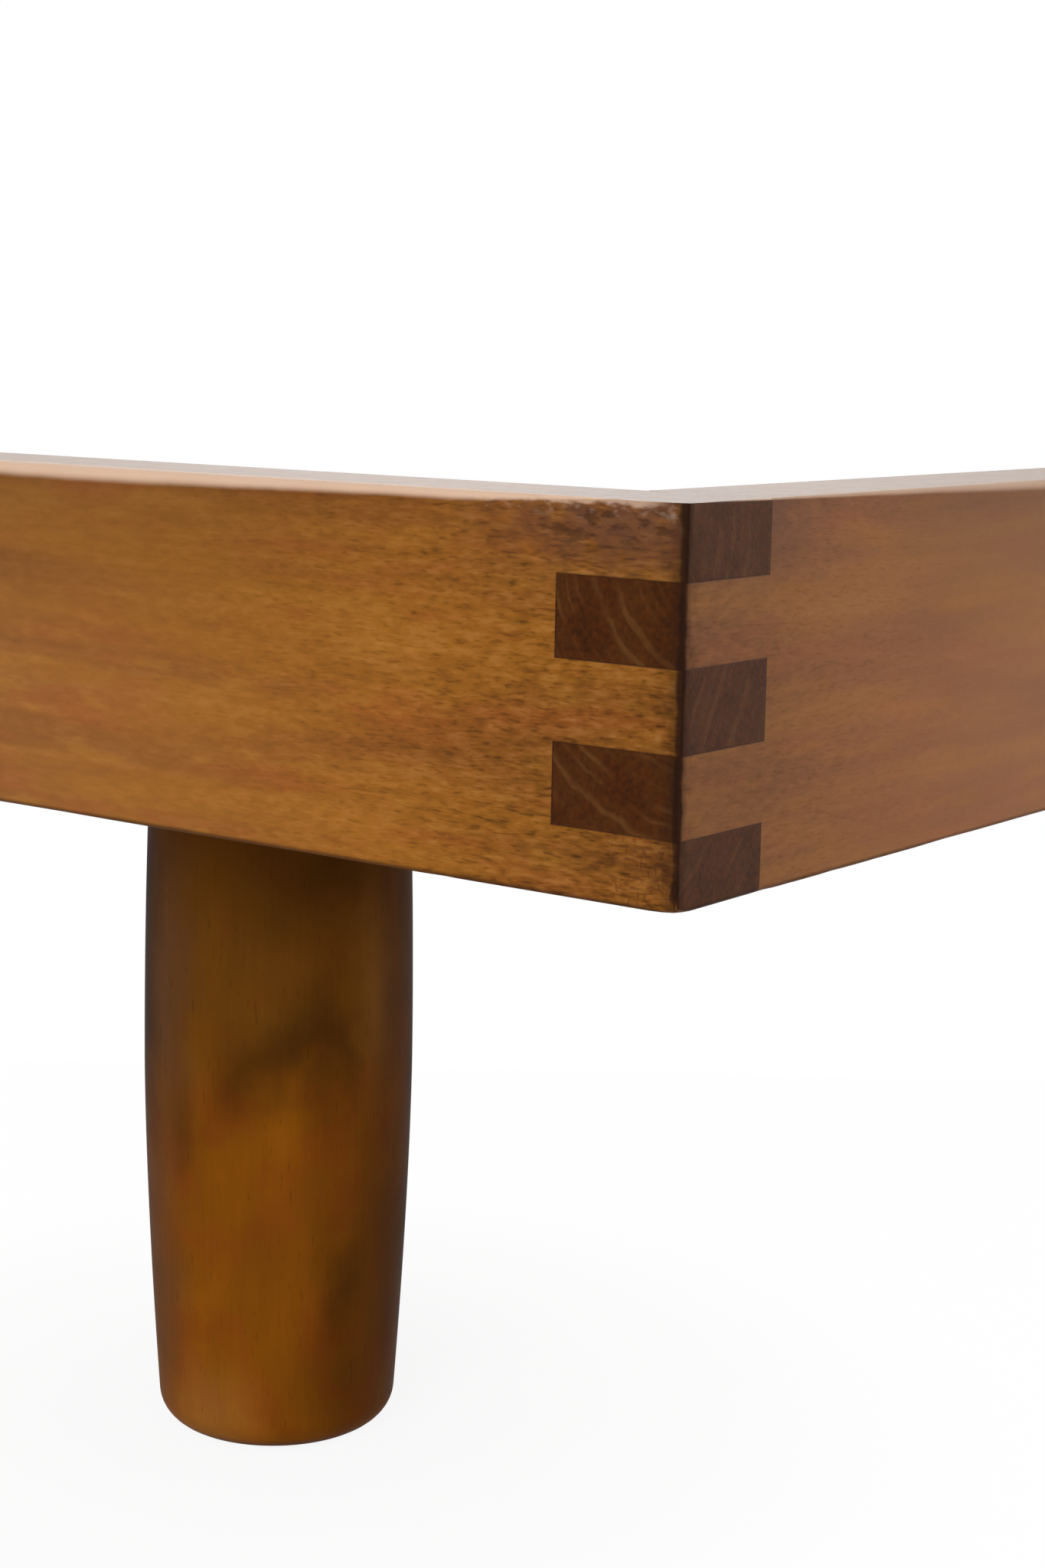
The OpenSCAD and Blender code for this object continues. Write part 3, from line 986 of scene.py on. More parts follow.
@dataclass(frozen=True)
class LegFinish:
    """Satin lacquer on turned, cloudily stained hardwood with its grain upright, and some painted shade
    and sheen.
    """

    amber: Colour = (0.224, 0.069, 0.0022)
    brown: Colour = (0.186, 0.056, 0.0022)
    ruddy: Colour = (0.205, 0.048, 0.0036)
    dark: Colour = (0.022, 0.0070, 0.0007)
    # Colour of the painted shade at the top of the leg, under the rails.
    shaded_olive: Colour = (0.090, 0.0340, 0.0030)
    # Dull, greyer colour. On the left side of the leg it is a painted sheen.
    dull: Colour = (0.098, 0.041, 0.0160)
    pale: Colour = (0.300, 0.120, 0.0220)
    sway: float = 4 * MM
    angle_clouds: Clouds = Clouds(34 * MM, 3.0)
    angle_sway: float = 34.0
    height_clouds: Clouds = Clouds(27 * MM, 3.0)
    height_sway: float = 0.030
    brown_clouds: Streaks = Streaks(70 * MM, 30 * MM, 3.0, Fade(0.36, 0.66))
    ruddy_clouds: Clouds = Clouds(16 * MM, 2.0, Fade(0.46, 0.64, 0.60))
    # Painted shade: the leg turns darker and olive towards its top, under the rails.
    rail_shade: Fade = Fade(0.112, 0.146, 0.74)
    fibre: Streaks = Streaks(40 * MM, 1.2 * MM)
    mottle: Streaks = Streaks(34 * MM, 15 * MM)
    pores: Streaks = Streaks(7.0 * MM, 1.1 * MM, 1.0, Fade(0.66, 0.78))
    tone: float = 0.91
    fibre_tone: float = 0.20
    mottle_tone: float = 0.36
    pore_tone: float = 0.22
    end_darkening: float = 0.55
    specular: float = 0.03
    roughness: float = 0.53
    rough_clouds: Clouds = Clouds(20 * MM)
    cloud_roughness: float = 0.10
    fibre_relief: float = 0.5
    pore_relief: float = 0.6
    relief_depth: float = 0.15 * MM
    relief_strength: float = 0.25
    arch: Arch = Arch()
    # Dark patches, mostly stains. The band at 0.192 m just under the rails and the broad patch at 62
    # degrees are painted shade.
    leg_patches: tuple[LegPatch, ...] = (
        LegPatch(20.0, 0.130, 18.0, 0.022, 0.50),
        LegPatch(22.0, 0.192, 48.0, 0.020, 0.44),
        LegPatch(-46.0, 0.110, 11.0, 0.020, 0.42),
        LegPatch(62.0, 0.074, 44.0, 0.085, 0.74),
        LegPatch(29.0, 0.056, 12.0, 0.024, 0.56),
        LegPatch(34.0, 0.016, 34.0, 0.030, 0.38),
        LegPatch(-5.0, 0.070, 10.0, 0.012, 0.12),
    )
    # Painted shade: tall dark rims at both sides of the leg.
    rim_shade: tuple[LegPatch, ...] = (
        LegPatch(-84.0, 0.180, 21.0, 0.200, 0.96),
        LegPatch(86.0, 0.100, 21.0, 0.400, 0.96),
    )
    # Dull places. The two at -57 and -62 degrees are a painted sheen down the leg's left side.
    dull_and_sheen_places: tuple[LegPatch, ...] = (
        LegPatch(-57.0, 0.150, 20.0, 0.048, 0.78),
        LegPatch(-62.0, 0.060, 15.0, 0.060, 0.52),
        LegPatch(52.0, 0.152, 11.0, 0.030, 0.45),
    )
    pale_places: tuple[LegPatch, ...] = (
        LegPatch(-32.0, 0.008, 26.0, 0.022, 0.60),
        LegPatch(43.0, 0.154, 10.0, 0.034, 0.26),
    )

    def material(self, name: str, board: Board, turn: float, rim_shaded: bool) -> bpy.types.Material:
        """Makes the finish for one leg.

        Args:
            name: the material's name.
            board: the leg's piece of wood.
            turn: direction that the patches are counted from, in degrees from +X.
            rim_shaded: whether the leg has tall dark rims of painted shade too.

        Returns:
            The material.
        """
        material, graph = new_material(name)
        grain = Grain(graph, board, self.sway)
        angle, height = self.unrolled(grain, turn)
        angle = angle + self.angle_clouds.swing(grain, self.angle_sway)
        height = height + self.height_clouds.swing(grain, self.height_sway)
        leg_patches = self.leg_patches + self.rim_shade if rim_shaded else self.leg_patches
        fibre = self.fibre.noise(grain)
        pores = self.pores.share(grain)
        # The olive top, the dark rims, the band under the rails, the patch at 62 degrees and the dull
        # places on the left are painted shade and sheen; the rest are stains.
        colour = graph.layers(
            self.amber,
            (self.brown_clouds.share(grain), self.brown),
            (self.ruddy_clouds.share(grain), self.ruddy),
            (self.rail_shade.up(height), self.shaded_olive),
            (self.together(self.dull_and_sheen_places, angle, height), self.dull),
            (self.together(leg_patches, angle, height).most(self.arch.share(angle, height)), self.dark),
            (self.together(self.pale_places, angle, height), self.pale),
        )
        tone = self.tone + fibre * self.fibre_tone + self.mottle.swing(grain, self.mottle_tone)
        colour = graph.shade(colour, tone * (1.0 - pores * self.pore_tone))
        relief = fibre * self.fibre_relief - pores * self.pore_relief
        graph.surface({
            "Base Color": graph.shade(colour, 1.0 - grain.end * self.end_darkening),
            "Roughness": self.roughness + self.rough_clouds.noise(grain) * self.cloud_roughness,
            "Specular IOR Level": self.specular,
            "Normal": graph.bump(relief, self.relief_depth, self.relief_strength),
        })
        return material

    def unrolled(self, grain: Grain, turn: float) -> tuple[Field, Field]:
        """Where a point lies on the leg's unrolled surface.

        Args:
            grain: the leg's grain.
            turn: direction that angles are counted from, in degrees from +X.

        Returns:
            The angle to its right, in degrees, and the height above the floor.
        """
        graph = grain.graph
        foot = (*grain.board.middle[:2], 0.0)
        x, y, height = graph.split(graph.vector("SUBTRACT", graph.place(), foot))
        cosine = math.cos(math.radians(turn))
        sine = math.sin(math.radians(turn))
        angle = graph.math("ARCTAN2", y * cosine - x * sine, x * cosine + y * sine)
        return angle * math.degrees(1.0), height

    def together(self, leg_patches: Iterable[LegPatch], angle: Field, height: Field) -> Field:
        """Share of several patches, from 0 to 1, in which overlapping ones add up."""
        clear = [1.0 - stain_and_shade.share(angle, height) for stain_and_shade in leg_patches]
        return 1.0 - functools.reduce(Field.__mul__, clear)


@dataclass(frozen=True)
class PlainWoodFinish:
    """Planed wood without stain, with year rings on its faces and its ends, and knots in some."""

    pale: Colour
    ring: Colour
    rings_a_metre: float
    ring_share: float
    end_share: float
    knots: float
    roughness: float
    specular: float
    sway: float = 9 * MM
    rings: Fade = Fade(0.42, 0.62)
    fibre: Streaks = Streaks(60 * MM, 1.1 * MM, 3.0)
    drift: Streaks = Streaks(400 * MM, 60 * MM, 1.0)
    tone: float = 0.78
    contrast: float = 0.22
    end_contrast: float = 0.1
    fibre_roughness: float = 0.12
    ring_relief: float = 0.4
    relief_depth: float = 0.20 * MM
    relief_strength: float = 0.35
    knot_colour: Colour = (0.16, 0.065, 0.025)
    knot_scales: Point = (4.2, 8.0, 8.0)
    knot_edge: float = 0.001
    knot_clouds: Clouds = Clouds(6 * MM)
    knot_wander: float = 0.03
    knot: Fade = Fade(0.045, 0.075, 0.85)
    collar: Fade = Fade(0.06, 0.15, 0.35)

    def material(self, name: str, board: Board) -> bpy.types.Material:
        """Makes the finish for one board.

        Args:
            name: the material's name.
            board: the board.

        Returns:
            The material.
        """
        material, graph = new_material(name)
        grain = Grain(graph, board, self.sway)
        rings = self.rings.up(graph.noise_line(grain.ring_distance(), self.rings_a_metre))
        fibre = self.fibre.noise(grain)
        tone = self.tone + fibre * self.contrast + self.drift.noise(grain) * self.contrast
        colour = graph.shade(graph.blend(rings * self.ring_share, self.pale, self.ring), tone)
        if self.knots > 0:
            colour = self.knotted(grain, colour)
        end_grain = graph.shade(colour, self.end_share + fibre * self.end_contrast)
        relief = fibre + rings * self.ring_relief
        graph.surface({
            "Base Color": graph.blend(grain.end, colour, end_grain),
            "Roughness": self.roughness + fibre * self.fibre_roughness,
            "Specular IOR Level": self.specular,
            "Normal": graph.bump(relief, self.relief_depth, self.relief_strength),
        })
        return material

    def knotted(self, grain: Grain, colour: Field) -> Field:
        """Adds a few dark knots with a darker collar of rings.

        Args:
            grain: the board's grain.
            colour: the colour without knots.

        Returns:
            The colour with them.
        """
        graph = grain.graph
        stretched = graph.vector("MULTIPLY", grain.fibres, self.knot_scales)
        cells = graph.node("ShaderNodeTexVoronoi", {"Vector": stretched, "Scale": 1.0})
        lot = graph.split(Field(graph, cells.outputs["Color"]))[0]
        drawn = lot.rise(1.0 - self.knots, 1.0 + self.knot_edge - self.knots)
        away = Field(graph, cells.outputs["Distance"]) + self.knot_clouds.swing(grain, self.knot_wander)
        return graph.layers(
            colour,
            (self.collar.down(away) * drawn, self.ring),
            (self.knot.down(away) * drawn, self.knot_colour),
        )


@dataclass(frozen=True)
class BrassFinish:
    """Dull brass, browned in patches."""

    bright: Colour = (0.62, 0.43, 0.18)
    browned: Colour = (0.26, 0.15, 0.06)
    browned_share: float = 0.8
    patch_scales: Point = (160.0, 160.0, 160.0)
    patches: Fade = Fade(0.40, 0.66)
    scratch_scales: Point = (900.0, 240.0, 900.0)
    roughness: float = 0.30
    patch_roughness: float = 0.22
    scratch_roughness: float = 0.08
    relief_depth: float = 0.05 * MM
    relief_strength: float = 0.3

    def material(self, name: str) -> bpy.types.Material:
        """Makes the brass.

        Args:
            name: the material's name.

        Returns:
            The material.
        """
        material, graph = new_material(name)
        place = graph.place()
        patches = self.patches.up(graph.noise(place, self.patch_scales, 3.0))
        scratches = graph.noise(place, self.scratch_scales, 2.0)
        roughness = self.roughness + patches * self.patch_roughness + scratches * self.scratch_roughness
        graph.surface({
            "Base Color": graph.blend(patches * self.browned_share, self.bright, self.browned),
            "Metallic": 1.0,
            "Roughness": roughness,
            "Normal": graph.bump(scratches, self.relief_depth, self.relief_strength),
        })
        return material


def spread(start: float, stop: float, count: int) -> list[float]:
    """Places evenly spread between two others, without the first and with the last."""
    return [start + (stop - start) * k / count for k in range(1, count + 1)]


def linked(name: str, data: bpy.types.ID) -> bpy.types.Object:
    """Makes an object and puts it in the scene.

    Args:
        name: the object's name.
        data: its mesh, lamp or camera.

    Returns:
        The object, at the origin.
    """
    made = bpy.data.objects.new(name, data)
    bpy.context.scene.collection.objects.link(made)
    return made


def as_mesh(bm: bmesh.types.BMesh, name: str) -> bpy.types.Mesh:
    """Turns a bmesh into a mesh.

    Args:
        bm: the bmesh, which is used up.
        name: the mesh's name.

    Returns:
        The mesh.
    """
    mesh = bpy.data.meshes.new(name)
    bm.to_mesh(mesh)
    bm.free()
    return mesh


def finish_mesh(bm: bmesh.types.BMesh, name: str, sharp_degrees: float) -> bpy.types.Object:
    """Turns a bmesh into an object of the bed with soft shading between its sharp edges.

    Args:
        bm: the mesh, which is used up.
        name: the object's name.
        sharp_degrees: an edge that turns by more than this stays sharp.

    Returns:
        The object, at the origin.
    """
    bmesh.ops.remove_doubles(bm, verts=bm.verts, dist=TINY)
    bmesh.ops.recalc_face_normals(bm, faces=bm.faces)
    for face in bm.faces:
        face.smooth = True
    for edge in bm.edges:
        edge.smooth = edge.is_manifold and edge.calc_face_angle(0.0) < math.radians(sharp_degrees)
    made = linked(name, as_mesh(bm, name))
    made.modifiers.new("even shading", "WEIGHTED_NORMAL").keep_sharp = True
    return made


def seat(piece: bpy.types.Object, node: str, material: bpy.types.Material) -> None:
    """Puts a new piece in the place of its node.

    Args:
        piece: the new object.
        node: the node that it stands for.
        material: the piece's finish.
    """
    piece.data.materials.append(material)
    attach(piece, "root")
    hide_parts(node)
    LOG.info("%s stands for %s in %s", piece.name, node, material.name)


def dress(node: str, material: bpy.types.Material) -> None:
    """Gives a node that keeps its own shape a finish.

    Args:
        node: the node's name.
        material: the finish.
    """
    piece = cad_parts[node]
    if piece.material_slots:
        for place in piece.material_slots:
            place.material = material
    else:
        piece.data.materials.append(material)
    LOG.info("%s keeps its shape in %s", node, material.name)


def box_middle(node: str) -> Point:
    """Middle of a node's box."""
    low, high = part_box(node)
    return tuple((low + high) / 2)


def rounded(first: float, second: float, radius: float) -> tuple[float, float]:
    """Moves a point beside a square edge to its place beside a round one.

    Args:
        first: distance of the point from one of the edge's two faces.
        second: its distance from the other face.
        radius: radius of the round edge.

    Returns:
        The two distances afterwards.
    """
    first_in = radius - first
    second_in = radius - second
    if first_in <= 0 or second_in <= 0:
        return first, second
    reach = max(first_in, second_in)
    turn = math.pi / 4 * min(first_in, second_in) / reach
    near = radius - reach * math.cos(turn)
    far = radius - reach * math.sin(turn)
    return (near, far) if first_in >= second_in else (far, near)


@dataclass(frozen=True)
class Rails:
    """The four rail boards with their finger-jointed corners."""

    sizes: BedSizes
    arris: UpperArris
    side_finish: RailFinish
    end_finish: RailFinish
    side_heart: tuple[float, float] = (0.11, 0.055)
    end_heart: tuple[float, float] = (0.036, 0.046)
    seed_step: float = 0.37
    sharp_degrees: float = 40.0
    corner_radius: float = 1.3 * MM
    low_radius: float = 1.2 * MM
    well_radius: float = 1.5 * MM
    wear_depth: float = 0.30 * MM
    wear_reach: float = 5 * MM
    wear_scale: float = 95.0
    low_corner_reach: float = 9 * MM
    low_corner_depth: float = 1.6 * MM
    edge_cuts: tuple[float, ...] = (0.25, 0.5, 0.75, 1.0, 1.5, 2.0, 3.0, 4.0, 5.0, 7.0, 9.0)
    well_cuts: tuple[float, ...] = (0.5, 1.0, 1.5)
    close_from: float = 8 * MM
    close_to: float = 108 * MM
    close_cuts: int = 25
    wide_to: float = 300 * MM
    wide_cuts: int = 10
    long_cut: float = 120 * MM

    def build(self) -> None:
        """Builds and dresses the side rails, then the end rails."""
        for side in Side:
            self.rail(f"side_rail_{side.name.lower()}", Axis.ALONG, side.value)
        for end in End:
            self.rail(f"{end.name.lower()}_rail", Axis.ACROSS, end.value)

    def rail(self, name: str, axis: Axis, sign: int) -> None:
        """Builds and dresses one rail.

        Args:
            name: the rail's node.
            axis: the way the rail runs.
            sign: the side or end of the bed that it stands at.
        """
        along = axis is Axis.ALONG
        half = self.sizes.half_length if along else self.sizes.half_width
        finish = self.side_finish if along else self.end_finish
        across, up = self.side_heart if along else self.end_heart
        seed = axis.value + 1.0 + sign * self.seed_step
        board = Board(axis, box_middle(name), half, (sign * across, up), seed)
        material = finish.material(f"lacquered_{name}", board, self.sizes, self.arris)
        piece = finish_mesh(self.board(axis, sign), f"{name}_board", self.sharp_degrees)
        seat(piece, name, material)

    def comb(self, reach: float, root: float, outer_out: bool) -> list[tuple[float, float]]:
        """Outline of a rail seen square to its face, with the fingers at both ends.

        Args:
            reach: half the length over the fingers.
            root: half the length at the bottom of the sockets between them.
            outer_out: whether the top, middle and bottom fingers stick out, or the other two.

        Returns:
            The outline's corners as (along, up).
        """
        levels = self.sizes.finger_levels()
        right = []
        for k, (low, high) in enumerate(zip(levels, levels[1:])):
            along = reach if (k % 2 == 0) == outer_out else root
            right += [(along, low), (along, high)]
        return right + [(-along, up) for along, up in reversed(right)]

    def stations(self, reach: float) -> list[float]:
        """Places along half a rail where its mesh is cut, close together near its end.

        Args:
            reach: half the length of the rail.

        Returns:
            The places as distances from the rail's middle.
        """
        near = [cut * MM for cut in self.edge_cuts]
        close = spread(self.close_from, self.close_to, self.close_cuts)
        wide = spread(self.close_to, self.wide_to, self.wide_cuts)
        far = spread(self.wide_to, reach, math.ceil((reach - self.wide_to) / self.long_cut))
        return [reach - distance for distance in [*near, *close, *wide, *far]]

    def board(self, axis: Axis, sign: int) -> bmesh.types.BMesh:
        """Makes one rail.

        Args:
            axis: the way the rail runs.
            sign: the side or end of the bed that it stands at.

        Returns:
            The rail's mesh in its place.
        """
        sizes = self.sizes
        runs_along = axis is Axis.ALONG
        reach, other = sizes.half_width, sizes.half_length
        if runs_along:
            reach, other = other, reach
        run = axis.vector()
        through = (Axis.ACROSS if runs_along else Axis.ALONG).vector()
        up = Axis.UP.vector()
        bm = bmesh.new()
        outline = self.comb(reach, reach - sizes.rail_thick, outer_out=runs_along)
        corners = [bm.verts.new(run * s + through * (sign * other) + up * z) for s, z in outline]
        grown = bmesh.ops.extrude_face_region(bm, geom=[bm.faces.new(corners)])
        moved = [item for item in grown["geom"] if isinstance(item, bmesh.types.BMVert)]
        bmesh.ops.translate(bm, verts=moved, vec=through * (-sign * sizes.rail_thick))
        for station in self.stations(reach):
            self.cut(bm, run, station)
            self.cut(bm, run, -station)
        for distance in self.edge_cuts:
            self.cut(bm, through, sign * (other - distance * MM))
            self.cut(bm, up, sizes.rail_low + distance * MM)
            self.cut(bm, up, sizes.rail_top - distance * MM)
        for distance in self.well_cuts:
            self.cut(bm, through, sign * (other - sizes.rail_thick + distance * MM))
        for vert in bm.verts:
            vert.co = self.worn(self.eased(vert.co))
        return bm

    def cut(self, bm: bmesh.types.BMesh, direction: Vector, distance: float) -> None:
        """Cuts a mesh's faces along a plane.

        Args:
            bm: the mesh.
            direction: what the plane is square to.
            distance: how far from the origin it lies that way.
        """
        everything = [*bm.verts, *bm.edges, *bm.faces]
        at = direction * distance
        bmesh.ops.bisect_plane(bm, geom=everything, dist=TINY, plane_co=at, plane_no=direction)

    def eased(self, place: Vector) -> Vector:
        """Where a point of the square-edged rails goes when the edges are rounded.

        Args:
            place: the point.

        Returns:
            The same point on the rounded rails.
        """
        sizes = self.sizes
        corner = self.corner_radius
        top = sizes.rail_top - place.z
        low = place.z - sizes.rail_low
        side, end = rounded(sizes.half_width - abs(place.x), sizes.half_length - abs(place.y), corner)
        depth = self.arris.on_side(end) if side < end else self.arris.on_end(side)
        at_corner = max(side, end) < corner
        from_centre = math.hypot(corner - side, corner - end)
        gap = corner - from_centre if at_corner else min(side, end)
        moved, top = rounded(gap, top, depth)
        moved, low = rounded(moved, low, self.low_radius)
        if at_corner and from_centre > 0:
            share = (corner - moved) / from_centre
            side = corner - (corner - side) * share
            end = corner - (corner - end) * share
        elif side < end:
            side = moved
        else:
            end = moved
        well, top = rounded(sizes.rail_thick - min(side, end), top, self.well_radius)
        well, low = rounded(well, low, self.well_radius)
        if side < end:
            side = sizes.rail_thick - well
        else:
            end = sizes.rail_thick - well
        across = math.copysign(sizes.half_width - side, place.x)
        along = math.copysign(sizes.half_length - end, place.y)
        middle = (sizes.rail_low + sizes.rail_top) / 2
        return Vector((across, along, sizes.rail_top - top if place.z > middle else sizes.rail_low + low))

    def worn(self, place: Vector) -> Vector:
        """Where a point goes when the outer edges are rubbed down unevenly, most at the low corners.

        Args:
            place: the point on the rounded rails.

        Returns:
            The same point on the worn rails.
        """
        sizes = self.sizes
        middle = (sizes.rail_low + sizes.rail_top) / 2
        side = sizes.half_width - abs(place.x)
        end = sizes.half_length - abs(place.y)
        over = min(sizes.rail_top - place.z, place.z - sizes.rail_low)
        _, second, third = sorted((side, end, over))
        if second > self.wear_reach:
            return place
        share = (1.0 - second / self.wear_reach) ** 2
        inward = Vector((
            -math.copysign(1.0, place.x) * (side < self.wear_reach),
            -math.copysign(1.0, place.y) * (end < self.wear_reach),
            math.copysign(1.0, middle - place.z) * (over < self.wear_reach),
        ))
        rub = max(0.0, noise.noise(place * self.wear_scale)) * self.wear_depth * share
        if place.z < middle and third < self.low_corner_reach:
            fade = 1.0 - third / self.low_corner_reach
            rub += self.low_corner_depth * fade * fade * share / inward.length
        return place + inward * rub


@dataclass(frozen=True)
class Legs:
    """The four turned legs, each with a round tenon that is split for its wedge."""

    finish: LegFinish
    swell_z: float = 124 * MM
    top_draw: float = 4 * MM
    foot_draw: float = 11 * MM
    taper_power: float = 1.6
    foot_round: float = 10 * MM
    tenon_radius: float = 20 * MM
    kerf_gap: float = 0.1 * MM
    kerf_tip: float = 0.5 * MM
    turns: int = 128
    round_steps: int = 10
    taper_steps: int = 24
    swell_steps: int = 18
    sharp_degrees: float = 35.0
    heart: tuple[float, float] = (0.035, 0.02)
    patch_turns: tuple[float, ...] = (221.7, 41.0, 152.0, 318.0)
    turns_a_seed: float = 100.0

    @staticmethod
    def names() -> list[str]:
        """The legs' nodes, foot end before head end and left before right."""
        return [f"leg_{end.name.lower()}_{side.name.lower()}" for end in End for side in Side]

    def build(self) -> None:
        """Turns, places and dresses each leg. The first one also has tall dark rims of painted shade."""
        for count, (name, turn) in enumerate(zip(self.names(), self.patch_turns)):
            low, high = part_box(name)
            middle = (low + high) / 2
            _, end_name, _ = name.split("_")
            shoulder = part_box(f"bearer_{end_name}")[0].z
            bm = self.turned((high.x - low.x) / 2, shoulder)
            self.add_tenon(bm, *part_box(name.replace("leg", "wedge")))
            bmesh.ops.translate(bm, verts=bm.verts, vec=(middle.x, middle.y, 0.0))
            board = Board(Axis.UP, tuple(middle), middle.z, self.heart, turn / self.turns_a_seed)
            material = self.finish.material(f"lacquered_{name}", board, turn, rim_shaded=count == 0)
            seat(finish_mesh(bm, f"{name}_turned", self.sharp_degrees), name, material)

    def radius(self, z: float, widest: float, shoulder: float) -> float:
        """Radius of the leg: a slow swell under the shoulder, then a taper to the floor.

        Args:
            z: height above the floor.
            widest: largest radius of the leg.
            shoulder: height of the shoulder under the bearer.

        Returns:
            The radius at that height.
        """
        if z > self.swell_z:
            return widest - self.top_draw / 2 * ((z - self.swell_z) / (shoulder - self.swell_z)) ** 2
        return widest - self.foot_draw / 2 * ((self.swell_z - z) / self.swell_z) ** self.taper_power

    def outline(self, widest: float, shoulder: float, kerf_low: float) -> list[tuple[float, float]]:
        """Half section of the leg up to the bottom of the cut in its tenon.

        Args:
            widest: largest radius of the leg.
            shoulder: height of the shoulder under the bearer.
            kerf_low: height of the bottom of the cut.

        Returns:
            The section's corners as (radius, height).
        """
        points = [(0.0, 0.0)]
        for k in range(self.round_steps + 1):
            angle = math.pi / 2 * k / self.round_steps
            z = self.foot_round * (1 - math.cos(angle))
            points.append((self.radius(z, widest, shoulder) - self.foot_round * (1 - math.sin(angle)), z))
        heights = spread(self.foot_round, self.swell_z, self.taper_steps)
        heights += spread(self.swell_z, shoulder, self.swell_steps)
        points += [(self.radius(z, widest, shoulder), z) for z in heights]
        return [*points, (self.tenon_radius, shoulder), (self.tenon_radius, kerf_low), (0.0, kerf_low)]

    def turned(self, widest: float, shoulder: float) -> bmesh.types.BMesh:
        """Turns the leg about the upright axis through the origin.

        Args:
            widest: largest radius of the leg.
            shoulder: height of the shoulder under the bearer.

        Returns:
            The leg without the split top of its tenon.
        """
        bm = bmesh.new()
        kerf_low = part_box("wedge_foot_left")[0].z - self.kerf_gap
        section = self.outline(widest, shoulder, kerf_low)
        verts = [bm.verts.new((radius, 0.0, z)) for radius, z in section]
        edges = [bm.edges.new(pair) for pair in zip(verts, verts[1:])]
        bmesh.ops.spin(
            bm, geom=[*verts, *edges], cent=(0, 0, 0), axis=(0, 0, 1), dvec=(0, 0, 0),
            angle=2 * math.pi, steps=self.turns, use_merge=True, use_duplicate=False,
        )
        return bm

    def add_tenon(self, bm: bmesh.types.BMesh, wedge_low: Vector, wedge_high: Vector) -> None:
        """Adds the two halves of the tenon's top on both sides of the tapered cut.

        Args:
            bm: the leg's mesh.
            wedge_low: lowest corner of the wedge's box.
            wedge_high: highest corner of the wedge's box.
        """
        tip = self.kerf_tip + self.kerf_gap
        mouth = (wedge_high.x - wedge_low.x) / 2 + self.kerf_gap
        low = wedge_low.z - self.kerf_gap
        rise = wedge_high.z - low
        for side in Side:
            half = bmesh.new()
            made = bmesh.ops.create_cone(
                half, cap_ends=True, segments=self.turns, radius1=self.tenon_radius,
                radius2=self.tenon_radius, depth=rise,
            )
            bmesh.ops.translate(half, verts=made["verts"], vec=(0, 0, low + rise / 2))
            slope = Vector((rise * side.value, 0.0, tip - mouth)).normalized()
            cut = bmesh.ops.bisect_plane(
                half, geom=[*half.verts, *half.edges, *half.faces], dist=TINY,
                plane_co=(side.value * tip, 0, low), plane_no=slope, clear_inner=True,
            )
            rim = [item for item in cut["geom_cut"] if isinstance(item, bmesh.types.BMEdge)]
            bmesh.ops.edgeloop_fill(half, edges=rim)
            mesh = as_mesh(half, "half_tenon")
            bm.from_mesh(mesh)
            bpy.data.meshes.remove(mesh)


@dataclass(frozen=True)
class Understructure:
    """Slats, bearers, ledgers, wedges and screws, which keep their own shapes."""

    slat: PlainWoodFinish = PlainWoodFinish(
        pale=(0.60, 0.40, 0.215), ring=(0.44, 0.235, 0.095), rings_a_metre=150.0, ring_share=0.75,
        end_share=0.60, knots=0.16, roughness=0.52, specular=0.35,
    )
    carcass: PlainWoodFinish = PlainWoodFinish(
        pale=(0.290, 0.125, 0.045), ring=(0.200, 0.078, 0.026), rings_a_metre=190.0, ring_share=0.7,
        end_share=0.50, knots=0.0, roughness=0.56, specular=0.30,
    )
    wedge: PlainWoodFinish = PlainWoodFinish(
        pale=(0.085, 0.034, 0.016), ring=(0.050, 0.020, 0.010), rings_a_metre=600.0, ring_share=0.8,
        end_share=0.70, knots=0.0, roughness=0.49, specular=0.30,
    )
    brass: BrassFinish = BrassFinish()
    heart_spread: float = 0.06
    first_seed: float = 4.0
    seed_step: float = 0.71

    def build(self) -> None:
        """Dresses every node that is neither a rail nor a leg."""
        brass = self.brass.material("dull_brass")
        woods = {
            "slat": ("planed", self.slat, Axis.ACROSS),
            "bearer": ("oiled", self.carcass, Axis.ACROSS),
            "ledger": ("oiled", self.carcass, Axis.ALONG),
            "wedge": ("sawn", self.wedge, Axis.UP),
        }
        names = [name for name in sorted(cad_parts) if name.split("_")[0] in woods]
        for count, name in enumerate(names):
            if "screws" in name:
                dress(name, brass)
                continue
            worked, finish, axis = woods[name.split("_")[0]]
            dress(name, finish.material(f"{worked}_{name}", self.plank(name, axis, count)))

    def plank(self, name: str, axis: Axis, count: int) -> Board:
        """The board that a node was sawn from.

        Args:
            name: the node's name.
            axis: the way its grain runs.
            count: number of nodes dressed before it, which sets it apart from them.

        Returns:
            The board, with the heart of its tree on a golden-angle circle round it.
        """
        low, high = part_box(name)
        angle = math.radians(GOLDEN_ANGLE * count)
        heart = (self.heart_spread * math.cos(angle), self.heart_spread * math.sin(angle))
        half = (high - low)[axis.value] / 2
        return Board(axis, box_middle(name), half, heart, self.first_seed + self.seed_step * count)


